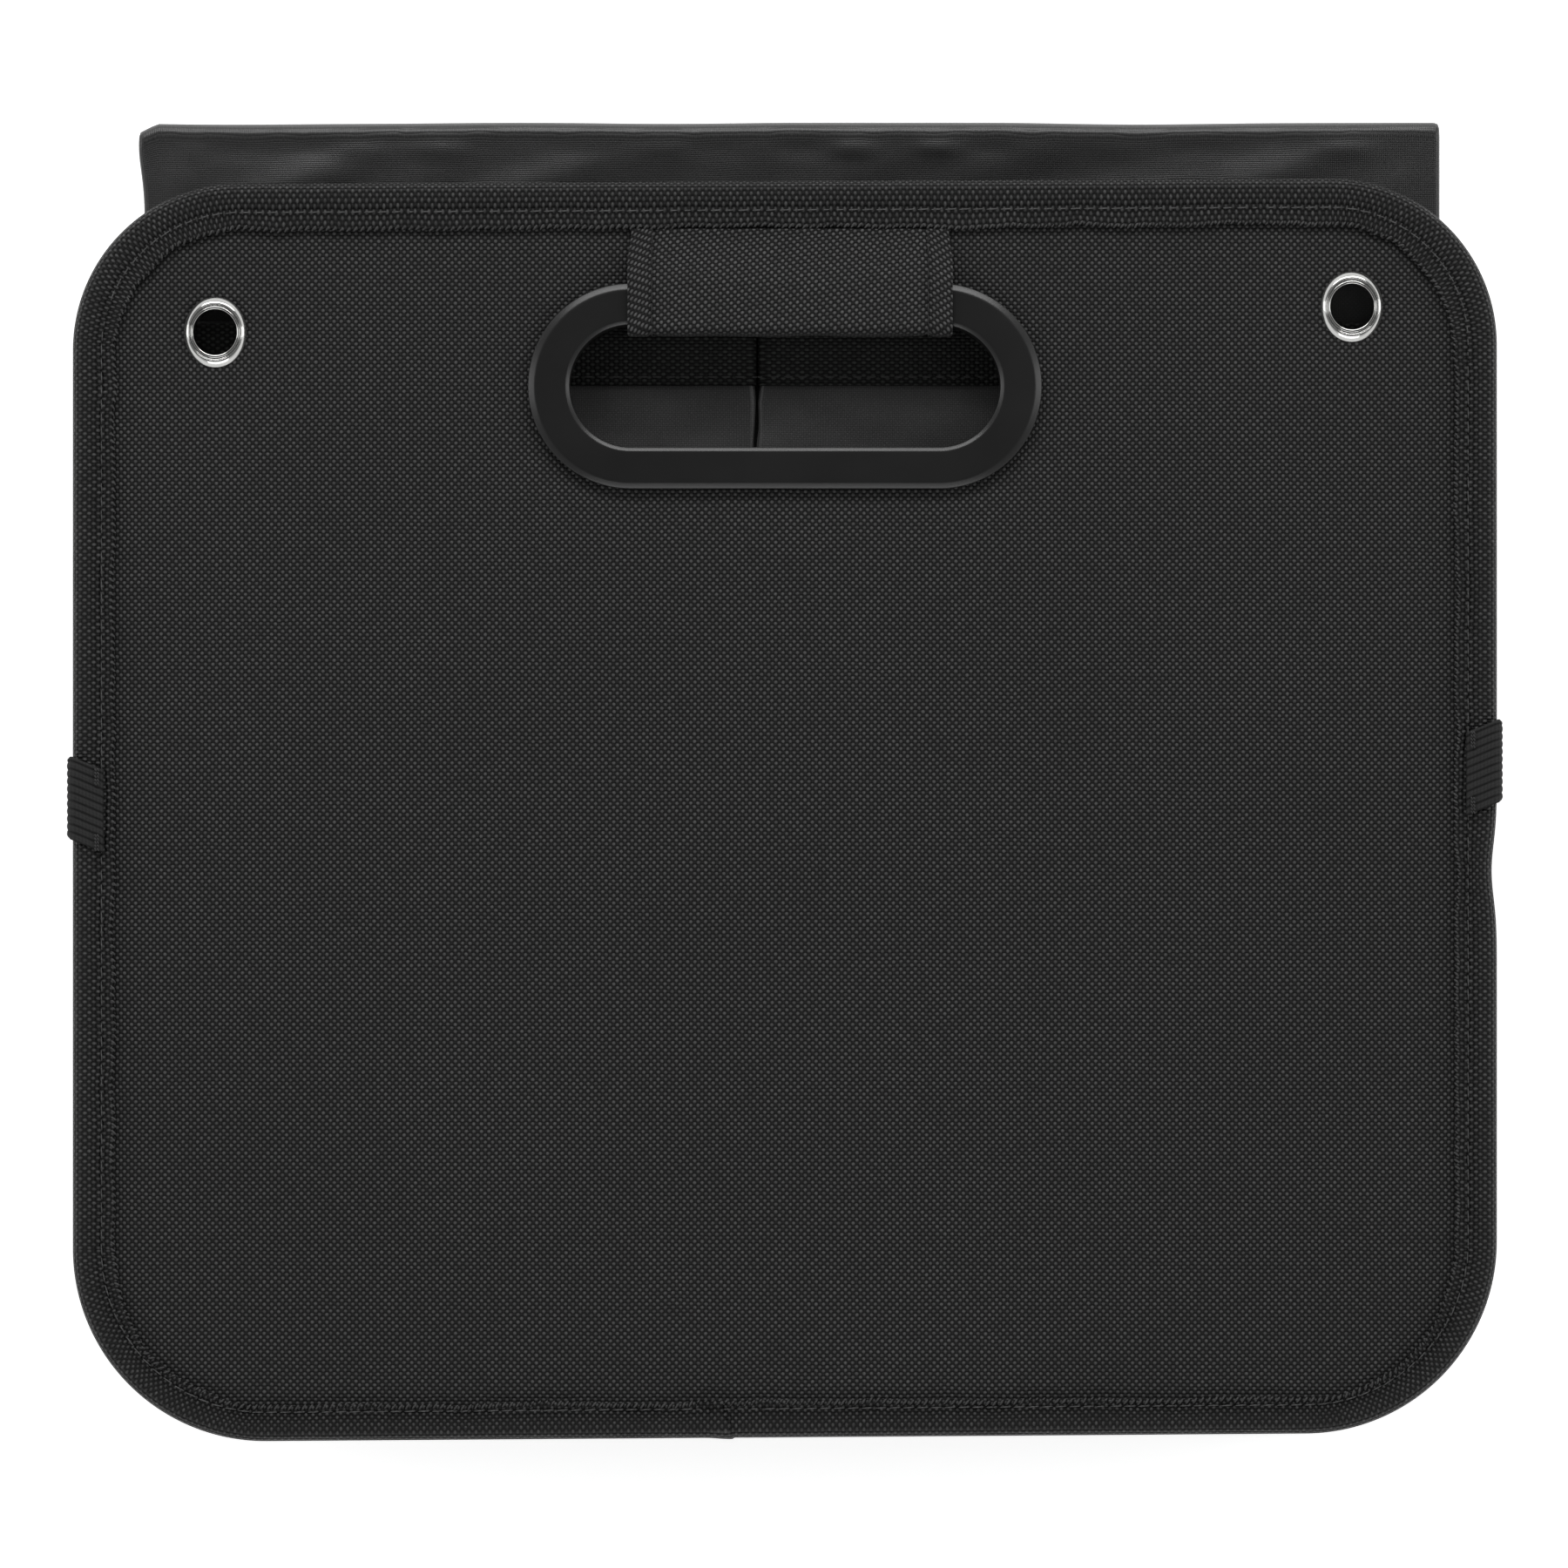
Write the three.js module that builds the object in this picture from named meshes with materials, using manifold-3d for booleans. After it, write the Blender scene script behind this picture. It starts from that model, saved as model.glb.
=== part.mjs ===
// A collapsed car trunk organizer, lying on its rear panel.
// X runs across the panels, Y from their bottom edge to their top edge, Z up through the folded stack.
// All sizes are in millimetres. Panel pieces are drawn round the middle of the panel's board.
import * as THREE from 'three';
import { mergeVertices } from 'three/addons/utils/BufferGeometryUtils.js';
import Module from 'manifold-3d';

const wasm = await Module();
wasm.setup();

// Gap kept between pieces that touch on the real object
const clearance = 0.3;
const mergeDistance = 1e-4;

// End panels: a board with a face fabric outside and a lining inside
const panelWidth = 329.4;
const panelHeight = 292.6;
const topEdgeDrop = 1.6;
const bottomEdgeRise = 2.4;
const topCornerRadius = 38.5;
const bottomCornerRadius = 44.5;
const cornerSteps = 9;
const boardThickness = 3;
const faceFabricThickness = 0.6;
const liningThickness = 0.5;

// Binding: one webbing tape folded over the panel's edge
const bindingWidth = 10.5;
const bindingThickness = 1.2;
const bindingNoseDepth = 2.6;
const bindingNoseSteps = 6;
const bindingEdgeChamfer = 0.4;

// Grip frame: a bezel outside, a collar through the cut-out and a ring that snaps on inside
const gripLength = 118.6;
const gripHeight = 47.4;
const gripBarWidth = 9.6;
const gripDrop = 48.4;
const gripProud = 2.6;
const gripBevelWidth = 1.4;
const gripBevelHeight = 1.2;
const gripLipRound = 0.9;
const gripSteps = 14;
const collarThickness = 2.2;
const innerRingThickness = 1.8;
const innerRingSetback = 1;
const innerRingChamfer = 0.7;
const hookWidth = 7;
const hookReach = 0.9;
const hookNeck = 1.2;
const hookCatchHeight = 0.4;
const hookLeadHeight = 0.8;
const hookSpacing = 26;

// Handle loop: a hemmed tab over the top bar of the grip frame
const loopWidth = 75;
const loopShift = 1.2;
const loopThickness = 1;
const loopSlack = 1.3;
const loopBend = 1.2;
const loopSlope = 3;

// Eyelets
const eyeletFlangeRadius = 8.15;
const eyeletHoleRadius = 5.15;
const eyeletWall = 0.35;
const eyeletCrown = 1.25;
const eyeletCurl = 0.9;
const washerThickness = 0.5;
const eyeletSteps = 24;
const leftEyeletFromSide = 33.1;
const leftEyeletFromTop = 35.9;
const rightEyeletFromSide = 33.7;
const rightEyeletFromTop = 30;

// Side walls: nylon, folded inwards in four leaves, with a webbing hem along the top
const clothThickness = 0.5;
const wallDrop = 32.8;
const hemWidth = 15;
const hemThickness = 0.55;
const foldLineShift = -6.4;
const foldGap = 2.4;
const bendSteps = 4;
const seamInset = 4;

// Bottom board: two boards in one nylon cover, folded in the middle, standing in the stack
const coverSetback = 13.4;
const coverShift = 1;
const coverOverhang = 13.7;
const coverFoot = 9.1;
const coverSeam = 1.2;
const coverFoldDepth = 5;
const coverHingeGap = 0.4;
const coverFoldCorner = 3;
const coverLowCorner = 20;
const coverCornerSteps = 4;
const baseBoardThickness = 2.5;

// Middle divider, stiffened and sewn shut
const dividerThickness = 3.2;

// Elastic straps, sewn to the front binding and closed on a hook patch on the rear panel
const strapWidth = 20;
const strapThickness = 0.9;
const strapFrontReach = 7.4;
const strapRearReach = 32;
const strapBend = 2.2;
const strapSlope = 0.34;
const leftStrapHeight = 2.8;
const rightStrapHeight = 11.4;
const patchLength = 16;

const black = 0x262626;
const finishes = {
  oxford: { color: black, roughness: 0.85, metalness: 0 },
  nylon: { color: 0x303030, roughness: 0.5, metalness: 0 },
  webbing: { color: 0x202020, roughness: 0.8, metalness: 0 },
  elastic: { color: 0x242424, roughness: 0.8, metalness: 0 },
  plastic: { color: 0x1f1f1f, roughness: 0.45, metalness: 0 },
  chrome: { color: 0xd8d8d8, roughness: 0.15, metalness: 1 },
  board: { color: 0x6b5a45, roughness: 0.9, metalness: 0 },
  hook: { color: 0x1a1a1a, roughness: 0.95, metalness: 0 },
};

// Heights of the panel's layers, outwards positive, measured from the middle of its board
const faceSeat = boardThickness / 2 + clearance;
const faceTop = faceSeat + faceFabricThickness;
const liningSeat = -boardThickness / 2 - clearance;
const liningBottom = liningSeat - liningThickness;
const bindingSeat = faceTop + clearance;
const bindingTop = bindingSeat + bindingThickness;
const bindingBackSeat = liningBottom - clearance;
const bindingBack = bindingBackSeat - bindingThickness;
const gripSeat = faceTop + clearance;
const gripTop = gripSeat + gripProud;
const innerRingSeat = liningBottom - clearance;
const innerRingBack = innerRingSeat - innerRingThickness;
const hookCatch = innerRingBack - clearance;
const hookBack = hookCatch - hookCatchHeight - hookLeadHeight;
const loopTop = gripTop + clearance + loopThickness;
const loopBack = innerRingBack - clearance - loopThickness;

// Insets from the panel's outline and from the grip frame's outline
const boardInset = bindingThickness + clearance;
const collarInset = gripBarWidth - collarThickness;
const cutOutInset = collarInset - clearance;
const gripCentre = new THREE.Vector2(0, panelHeight / 2 - gripDrop);
const panelHoleRadius = eyeletHoleRadius + eyeletWall + clearance;
const eyelets = {
  left: new THREE.Vector2(leftEyeletFromSide - panelWidth / 2, panelHeight / 2 - leftEyeletFromTop),
  right: new THREE.Vector2(panelWidth / 2 - rightEyeletFromSide, panelHeight / 2 - rightEyeletFromTop),
};

// Heights of the folded stack, measured down from the middle of the front panel's board
const layerStep = clothThickness + clearance;
const hemTotal = clothThickness + 2 * (clearance + hemThickness);
const leafPitch = hemTotal + clearance;
const pocketDepth = baseBoardThickness + 2 * clearance;
const coverWidth = panelWidth - 2 * coverSetback;
const coverDepth = 4 * clothThickness + 2 * pocketDepth + coverHingeGap;
const panelBack = Math.min(hookBack, loopBack);
const baseLevelAtPanel = bindingBack - clearance - clothThickness / 2;
const cornerLevelAtPanel = baseLevelAtPanel - layerStep;
const wallLevelAtPanel = Math.min(cornerLevelAtPanel - layerStep, panelBack - clearance - hemTotal / 2);
const wallLevels = [wallLevelAtPanel, wallLevelAtPanel - leafPitch];
const baseLevels = [baseLevelAtPanel, wallLevels[1] - 2 * layerStep];
const cornerLevels = [cornerLevelAtPanel, wallLevels[1] - layerStep];
const coverTop = Math.min(baseLevels[1] - clothThickness / 2, wallLevels[1] - hemTotal / 2) - clearance;
const coverBottom = coverTop - coverDepth;
const dividerTop = coverBottom - 2 * clearance - hemThickness;
const dividerBottom = dividerTop - dividerThickness;
const dividerHemBottom = dividerBottom - clearance - hemThickness;
baseLevels.push(dividerBottom - clearance - clothThickness / 2);
cornerLevels.push(baseLevels[2] - layerStep);
wallLevels.push(Math.min(cornerLevels[2] - layerStep, dividerHemBottom - clearance - hemTotal / 2));
wallLevels.push(wallLevels[2] - leafPitch);
const rearPanelLevel = wallLevels[3] + wallLevelAtPanel;
baseLevels.push(rearPanelLevel - baseLevelAtPanel);
cornerLevels.push(rearPanelLevel - cornerLevelAtPanel);

// Places across the stack
const wallEdge = coverShift + coverWidth / 2 + clearance + hemTotal / 2;
const hemTop = panelHeight / 2 - wallDrop;
const coverTopEdge = panelHeight / 2 + coverOverhang;
const coverBottomEdge = coverFoot - panelHeight / 2;
const baseBottom = coverBottomEdge - clearance - clothThickness;
const wallBottom = baseBottom + clothThickness + clearance;
const wallTop = hemTop - hemThickness - clearance;
const dividerHalfWidth = wallEdge - hemTotal / 2 - clearance;
const baseHalfWidth = wallEdge - clothThickness / 2 - clearance;

// Turns that lay a flat drawing into the part: drawn in X and Z, or in Y and Z
const axisX = new THREE.Vector3(1, 0, 0);
const axisY = new THREE.Vector3(0, 1, 0);
const axisZ = new THREE.Vector3(0, 0, 1);
const drawnInXZ = new THREE.Matrix4().makeBasis(axisX, axisZ, axisY.clone().negate());
const drawnInYZ = new THREE.Matrix4().makeBasis(axisY, axisZ, axisX);

// Geometry made of loose triangles, with its faces turned outwards
function closedGeometry(points, triangles) {
  let volume = 0;
  for (const [a, b, c] of triangles) {
    volume += points[a].dot(new THREE.Vector3().crossVectors(points[b], points[c]));
  }
  const ordered = volume > 0 ? triangles : triangles.map(([a, b, c]) => [a, c, b]);
  const geometry = new THREE.BufferGeometry().setFromPoints(points);
  geometry.setIndex(ordered.flat());
  return geometry;
}

function mergedPoints(geometry) {
  const bare = geometry.clone();
  bare.deleteAttribute('normal');
  bare.deleteAttribute('uv');
  return mergeVertices(bare, mergeDistance);
}

function solidFrom(geometry) {
  const merged = mergedPoints(geometry);
  return new wasm.Manifold(new wasm.Mesh({
    numProp: 3,
    vertProperties: new Float32Array(merged.attributes.position.array),
    triVerts: new Uint32Array(merged.index.array),
  }));
}

function geometryFrom(solid) {
  const mesh = solid.getMesh();
  const geometry = new THREE.BufferGeometry();
  geometry.setAttribute('position', new THREE.BufferAttribute(new Float32Array(mesh.vertProperties), 3));
  geometry.setIndex(new THREE.BufferAttribute(new Uint32Array(mesh.triVerts), 1));
  return geometry;
}

// An arc between two straight runs, each point with its outward normal
function arcPoints(centre, radius, startAngle, turn, steps) {
  return Array.from({ length: steps + 1 }, (_, step) => {
    const angle = startAngle + (turn * step) / steps;
    const normal = new THREE.Vector2(Math.cos(angle), Math.sin(angle));
    return { point: centre.clone().addScaledVector(normal, radius), normal };
  });
}

// A convex outline, counter-clockwise, with each corner rounded
function roundedOutline(corners, steps) {
  return corners.flatMap((corner, index) => {
    const before = corners[(index + corners.length - 1) % corners.length].at;
    const after = corners[(index + 1) % corners.length].at;
    const wayIn = corner.at.clone().sub(before).normalize();
    const wayOut = after.clone().sub(corner.at).normalize();
    const turn = Math.atan2(wayIn.cross(wayOut), wayIn.dot(wayOut));
    const start = corner.at.clone().addScaledVector(wayIn, -corner.radius * Math.tan(turn / 2));
    const inward = new THREE.Vector2(-wayIn.y, wayIn.x);
    const centre = start.addScaledVector(inward, corner.radius);
    return arcPoints(centre, corner.radius, wayIn.angle() - Math.PI / 2, turn, steps);
  });
}

function stadiumOutline(length, height, centre, steps) {
  const radius = height / 2;
  const offset = new THREE.Vector2(length / 2 - radius, 0);
  return [
    ...arcPoints(centre.clone().add(offset), radius, -Math.PI / 2, Math.PI, steps),
    ...arcPoints(centre.clone().sub(offset), radius, Math.PI / 2, Math.PI, steps),
  ];
}

function insetPoints(outline, inset) {
  return outline.map(({ point, normal }) => point.clone().addScaledVector(normal, -inset));
}

// A closed section carried round an outline: each section point is an inset and a height
function sweepRound(outline, section) {
  const points = [];
  const triangles = [];
  for (const { point, normal } of outline) {
    for (const [inset, height] of section) {
      points.push(new THREE.Vector3(point.x - normal.x * inset, point.y - normal.y * inset, height));
    }
  }
  const index = (i, j) => (i % outline.length) * section.length + (j % section.length);
  for (let i = 0; i < outline.length; i += 1) {
    for (let j = 0; j < section.length; j += 1) {
      triangles.push([index(i, j), index(i + 1, j), index(i + 1, j + 1)]);
      triangles.push([index(i, j), index(i + 1, j + 1), index(i, j + 1)]);
    }
  }
  return closedGeometry(points, triangles);
}

// A flat plate between two heights, with holes
function plate(points, holes, bottom, top) {
  const shape = new THREE.Shape(points);
  shape.holes = holes.map((hole) => new THREE.Path(hole));
  const geometry = new THREE.ExtrudeGeometry(shape, { depth: top - bottom, bevelEnabled: false });
  return geometry.translate(0, 0, bottom);
}

function box(xRange, yRange, zRange) {
  const size = [xRange, yRange, zRange].map(([low, high]) => high - low);
  const middle = [xRange, yRange, zRange].map(([low, high]) => (low + high) / 2);
  return new THREE.BoxGeometry(...size).translate(...middle);
}

// A line of straight runs with its bends rounded; a fold is two square bends close together
function roundedPath(corners, radius, steps) {
  const path = [corners[0]];
  for (let index = 1; index < corners.length - 1; index += 1) {
    const corner = corners[index];
    const wayIn = corner.clone().sub(corners[index - 1]).normalize();
    const wayOut = corners[index + 1].clone().sub(corner).normalize();
    const turn = Math.atan2(wayIn.cross(wayOut), wayIn.dot(wayOut));
    const side = Math.sign(turn);
    const start = corner.clone().addScaledVector(wayIn, -radius * Math.tan(Math.abs(turn) / 2));
    const centre = start.addScaledVector(new THREE.Vector2(-wayIn.y, wayIn.x), side * radius);
    const startAngle = wayIn.angle() - (side * Math.PI) / 2;
    for (const { point } of arcPoints(centre, radius, startAngle, turn, steps)) {
      if (point.distanceTo(path[path.length - 1]) > 1e-3) {
        path.push(point);
      }
    }
  }
  path.push(corners[corners.length - 1]);
  return path;
}

// The outline of a strip of one thickness along a path
function ribbonOutline(path, thickness) {
  const left = [];
  const right = [];
  path.forEach((point, index) => {
    const before = path[Math.max(index - 1, 0)];
    const after = path[Math.min(index + 1, path.length - 1)];
    const wayIn = point.clone().sub(before).normalize();
    const wayOut = after.clone().sub(point).normalize();
    const along = wayIn.clone().add(wayOut).normalize();
    const square = index === 0 || index === path.length - 1;
    const stretch = square ? 1 : 1 / Math.max(along.dot(wayIn), 0.5);
    const sideways = new THREE.Vector2(-along.y, along.x).multiplyScalar((stretch * thickness) / 2);
    left.push(point.clone().add(sideways));
    right.push(point.clone().sub(sideways));
  });
  return [...left, ...right.reverse()];
}

// A strip drawn in X and Z, standing from one Y to another
function standingRibbon(path, thickness, bottom, top) {
  const geometry = plate(ribbonOutline(path, thickness), [], -top, -bottom);
  return geometry.applyMatrix4(drawnInXZ);
}

// A strip drawn in Y and Z, reaching from one X to another
function crossRibbon(path, thickness, from, to) {
  return plate(ribbonOutline(path, thickness), [], from, to).applyMatrix4(drawnInYZ);
}

// What is sewn round the panel's low corners keeps inside the panel's outline
function trimmedToPanel(geometry) {
  const margin = bindingTop;
  const outline = insetPoints(panelOutline, seamInset);
  const stack = plate(outline, [], rearPanelLevel - margin, margin);
  return geometryFrom(solidFrom(geometry).intersect(solidFrom(stack)));
}

function part(name, geometry, finish) {
  const mesh = new THREE.Mesh(geometry, new THREE.MeshStandardMaterial(finishes[finish]));
  mesh.name = name;
  return mesh;
}

// The panel's outline over the binding, seen from outside
const panelOutline = roundedOutline([
  { at: new THREE.Vector2(-panelWidth / 2, -panelHeight / 2), radius: bottomCornerRadius },
  { at: new THREE.Vector2(panelWidth / 2, -panelHeight / 2 + bottomEdgeRise), radius: bottomCornerRadius },
  { at: new THREE.Vector2(panelWidth / 2, panelHeight / 2), radius: topCornerRadius },
  { at: new THREE.Vector2(-panelWidth / 2, panelHeight / 2 - topEdgeDrop), radius: topCornerRadius },
], cornerSteps);
const gripOutline = stadiumOutline(gripLength, gripHeight, gripCentre, gripSteps);

function panelLayer(bottom, top) {
  const holes = Object.values(eyelets).map((centre) => {
    const circle = arcPoints(centre, panelHoleRadius, 0, 2 * Math.PI, eyeletSteps);
    return circle.slice(1).map(({ point }) => point);
  });
  holes.push(insetPoints(gripOutline, cutOutInset));
  return plate(insetPoints(panelOutline, boardInset), holes, bottom, top);
}

// The tape's section: two legs joined by a half-round nose outside the board's edge
function bindingGeometry() {
  const middle = (bindingTop + bindingBack) / 2;
  const halfHeight = (bindingTop - bindingBack) / 2;
  const nose = Array.from({ length: bindingNoseSteps + 1 }, (_, step) => {
    const angle = -Math.PI / 2 + (Math.PI * step) / bindingNoseSteps;
    return [bindingNoseDepth * (1 - Math.cos(angle)), middle + halfHeight * Math.sin(angle)];
  });
  return sweepRound(panelOutline, [
    ...nose,
    [bindingWidth - bindingEdgeChamfer, bindingTop],
    [bindingWidth, bindingTop - bindingEdgeChamfer],
    [bindingWidth, bindingSeat],
    [bindingThickness, bindingSeat],
    [bindingThickness, bindingBackSeat],
    [bindingWidth, bindingBackSeat],
    [bindingWidth, bindingBack + bindingEdgeChamfer],
    [bindingWidth - bindingEdgeChamfer, bindingBack],
  ]);
}

// One snap hook, drawn outwards from the collar's outer face and down, then turned into place
function snapHook(place, outward) {
  const root = -collarThickness + clearance;
  const neck = root + hookNeck;
  const profile = [
    [root, hookCatch + 2 * clearance],
    [neck, hookCatch + 2 * clearance],
    [neck, hookCatch],
    [hookReach, hookCatch],
    [hookReach, hookCatch - hookCatchHeight],
    [0, hookBack],
    [root, hookBack],
  ].map(([reach, height]) => new THREE.Vector2(reach, height));
  const geometry = plate(profile, [], -hookWidth / 2, hookWidth / 2).applyMatrix4(drawnInXZ);
  geometry.rotateZ(outward.angle());
  return geometry.translate(place.x, place.y, 0);
}

function gripFrameGeometry() {
  const ring = sweepRound(gripOutline, [
    [0, gripSeat],
    [0, gripTop - gripBevelHeight],
    [gripBevelWidth * 0.35, gripTop - gripBevelHeight * 0.35],
    [gripBevelWidth, gripTop],
    [gripBarWidth - gripLipRound, gripTop],
    [gripBarWidth - gripLipRound * 0.3, gripTop - gripLipRound * 0.3],
    [gripBarWidth, gripTop - gripLipRound],
    [gripBarWidth, innerRingBack],
    [collarInset, innerRingBack],
    [collarInset, gripSeat],
  ]);
  const down = new THREE.Vector2(0, -1);
  const collarHalfLength = gripLength / 2 - collarInset;
  const collarHalfHeight = gripHeight / 2 - collarInset;
  let solid = solidFrom(ring);
  for (const step of [-1, 0, 1]) {
    const place = gripCentre.clone().add(new THREE.Vector2(step * hookSpacing, -collarHalfHeight));
    solid = solid.add(solidFrom(snapHook(place, down)));
  }
  for (const side of [-1, 1]) {
    const outward = new THREE.Vector2(side, 0);
    const place = gripCentre.clone().addScaledVector(outward, collarHalfLength);
    solid = solid.add(solidFrom(snapHook(place, outward)));
  }
  return geometryFrom(solid);
}

function innerRingGeometry() {
  return sweepRound(gripOutline, [
    [innerRingSetback, innerRingSeat],
    [cutOutInset, innerRingSeat],
    [cutOutInset, innerRingBack],
    [innerRingSetback + innerRingChamfer, innerRingBack],
    [innerRingSetback, innerRingBack + innerRingChamfer],
  ]);
}

// The tab leaves the top binding, climbs over the bar, passes through the hole and returns inside
function handleLoopGeometry() {
  const half = loopThickness / 2;
  const barTop = gripCentre.y + gripHeight / 2;
  const holeTop = gripCentre.y + gripHeight / 2 - gripBarWidth;
  const left = loopShift - loopWidth / 2;
  const edgeSlope = topEdgeDrop / panelWidth;
  const edgeAtLeft = panelHeight / 2 - edgeSlope * (panelWidth / 2 - left);
  const end = edgeAtLeft - bindingWidth - 2 * clearance;
  const inside = holeTop - loopSlack - half;
  const path = roundedPath([
    new THREE.Vector2(end, faceTop + clearance + half),
    new THREE.Vector2(barTop + clearance + half + loopSlope, faceTop + clearance + half),
    new THREE.Vector2(barTop + clearance + half, loopTop - half),
    new THREE.Vector2(inside, loopTop - half),
    new THREE.Vector2(inside, loopBack + half),
    new THREE.Vector2(barTop + clearance + half, loopBack + half),
    new THREE.Vector2(barTop + clearance + half + loopSlope, liningBottom - clearance - half),
    new THREE.Vector2(end, liningBottom - clearance - half),
  ], loopBend, bendSteps);
  return crossRibbon(path, loopThickness, left, left + loopWidth);
}

// A turned ring from a closed section of radius and height
function turnedRing(section, centre) {
  const profile = [...section, section[0]].map(([radius, height]) => new THREE.Vector2(radius, height));
  const geometry = new THREE.LatheGeometry(profile, eyeletSteps).rotateX(Math.PI / 2);
  const merged = geometryFrom(solidFrom(outwardLathe(geometry)));
  return merged.translate(centre.x, centre.y, 0);
}

function outwardLathe(geometry) {
  const merged = mergedPoints(geometry);
  const position = merged.attributes.position;
  const points = Array.from({ length: position.count }, (_, index) => (
    new THREE.Vector3().fromBufferAttribute(position, index)));
  const triangles = [];
  for (let start = 0; start < merged.index.count; start += 3) {
    const triangle = [0, 1, 2].map((corner) => merged.index.getX(start + corner));
    if (new Set(triangle).size === 3) {
      triangles.push(triangle);
    }
  }
  return closedGeometry(points, triangles);
}

function eyeletGeometry(centre) {
  const barrel = eyeletHoleRadius + eyeletWall;
  const washerBack = liningBottom - clearance - washerThickness;
  const curlSeat = washerBack - clearance;
  const crown = faceTop + clearance + eyeletCrown;
  const flange = eyeletFlangeRadius - barrel;
  return turnedRing([
    [eyeletHoleRadius, curlSeat - eyeletCurl * 0.6],
    [eyeletHoleRadius, crown - eyeletCrown * 0.6],
    [eyeletHoleRadius + flange * 0.1, crown - eyeletCrown * 0.2],
    [eyeletHoleRadius + flange * 0.4, crown],
    [eyeletHoleRadius + flange * 0.7, crown - eyeletCrown * 0.05],
    [eyeletFlangeRadius - flange * 0.08, crown - eyeletCrown * 0.5],
    [eyeletFlangeRadius, faceTop + clearance],
    [barrel, faceTop + clearance],
    [barrel, curlSeat],
    [barrel + eyeletCurl, curlSeat],
    [barrel + eyeletCurl, curlSeat - eyeletCurl * 0.5],
    [barrel + eyeletCurl * 0.4, curlSeat - eyeletCurl],
  ], centre);
}

function washerGeometry(centre) {
  const seat = liningBottom - clearance;
  return turnedRing([
    [panelHoleRadius, seat],
    [eyeletFlangeRadius, seat],
    [eyeletFlangeRadius - washerThickness, seat - washerThickness],
    [panelHoleRadius, seat - washerThickness],
  ], centre);
}

function endPanel(prefix) {
  const group = new THREE.Group();
  group.add(part(`${prefix}_board`, panelLayer(-boardThickness / 2, boardThickness / 2), 'board'));
  group.add(part(`${prefix}_face_fabric`, panelLayer(faceSeat, faceTop), 'oxford'));
  group.add(part(`${prefix}_lining`, panelLayer(liningBottom, liningSeat), 'nylon'));
  group.add(part(`${prefix}_binding`, bindingGeometry(), 'webbing'));
  group.add(part(`${prefix}_grip_frame`, gripFrameGeometry(), 'plastic'));
  group.add(part(`${prefix}_grip_inner_ring`, innerRingGeometry(), 'plastic'));
  group.add(part(`${prefix}_handle_loop`, handleLoopGeometry(), 'oxford'));
  for (const [side, centre] of Object.entries(eyelets)) {
    group.add(part(`${prefix}_${side}_eyelet`, eyeletGeometry(centre), 'chrome'));
    group.add(part(`${prefix}_${side}_eyelet_washer`, washerGeometry(centre), 'chrome'));
  }
  return group;
}

// The plan of a side wall: from the front panel, in to the first fold, out round the
// bottom board and the divider, in to the second fold and out to the rear panel
function wallPath(side) {
  const edge = side * wallEdge;
  const frontFold = foldLineShift + (side * foldGap) / 2;
  const rearFold = -foldLineShift + (side * foldGap) / 2;
  const seam = bindingBack - clearance;
  return roundedPath([
    new THREE.Vector2(edge, seam),
    new THREE.Vector2(edge, wallLevels[0]),
    new THREE.Vector2(frontFold, wallLevels[0]),
    new THREE.Vector2(frontFold, wallLevels[1]),
    new THREE.Vector2(edge, wallLevels[1]),
    new THREE.Vector2(edge, wallLevels[2]),
    new THREE.Vector2(rearFold, wallLevels[2]),
    new THREE.Vector2(rearFold, wallLevels[3]),
    new THREE.Vector2(edge, wallLevels[3]),
    new THREE.Vector2(edge, rearPanelLevel - seam),
  ], leafPitch / 2, bendSteps);
}

// A hem tape over the top edge of a strip: two legs and a closed top
function hemGeometry(path, stripThickness) {
  const slot = stripThickness + 2 * clearance;
  const outside = standingRibbon(path, slot + 2 * hemThickness, hemTop - hemWidth, hemTop);
  const longer = path.map((point) => point.clone());
  const overrun = 1;
  const startWay = path[0].clone().sub(path[1]).normalize();
  const endWay = path[path.length - 1].clone().sub(path[path.length - 2]).normalize();
  longer[0].addScaledVector(startWay, overrun);
  longer[longer.length - 1].addScaledVector(endWay, overrun);
  const inside = standingRibbon(longer, slot, hemTop - hemWidth - overrun, hemTop - hemThickness);
  return geometryFrom(solidFrom(outside).subtract(solidFrom(inside)));
}

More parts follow.
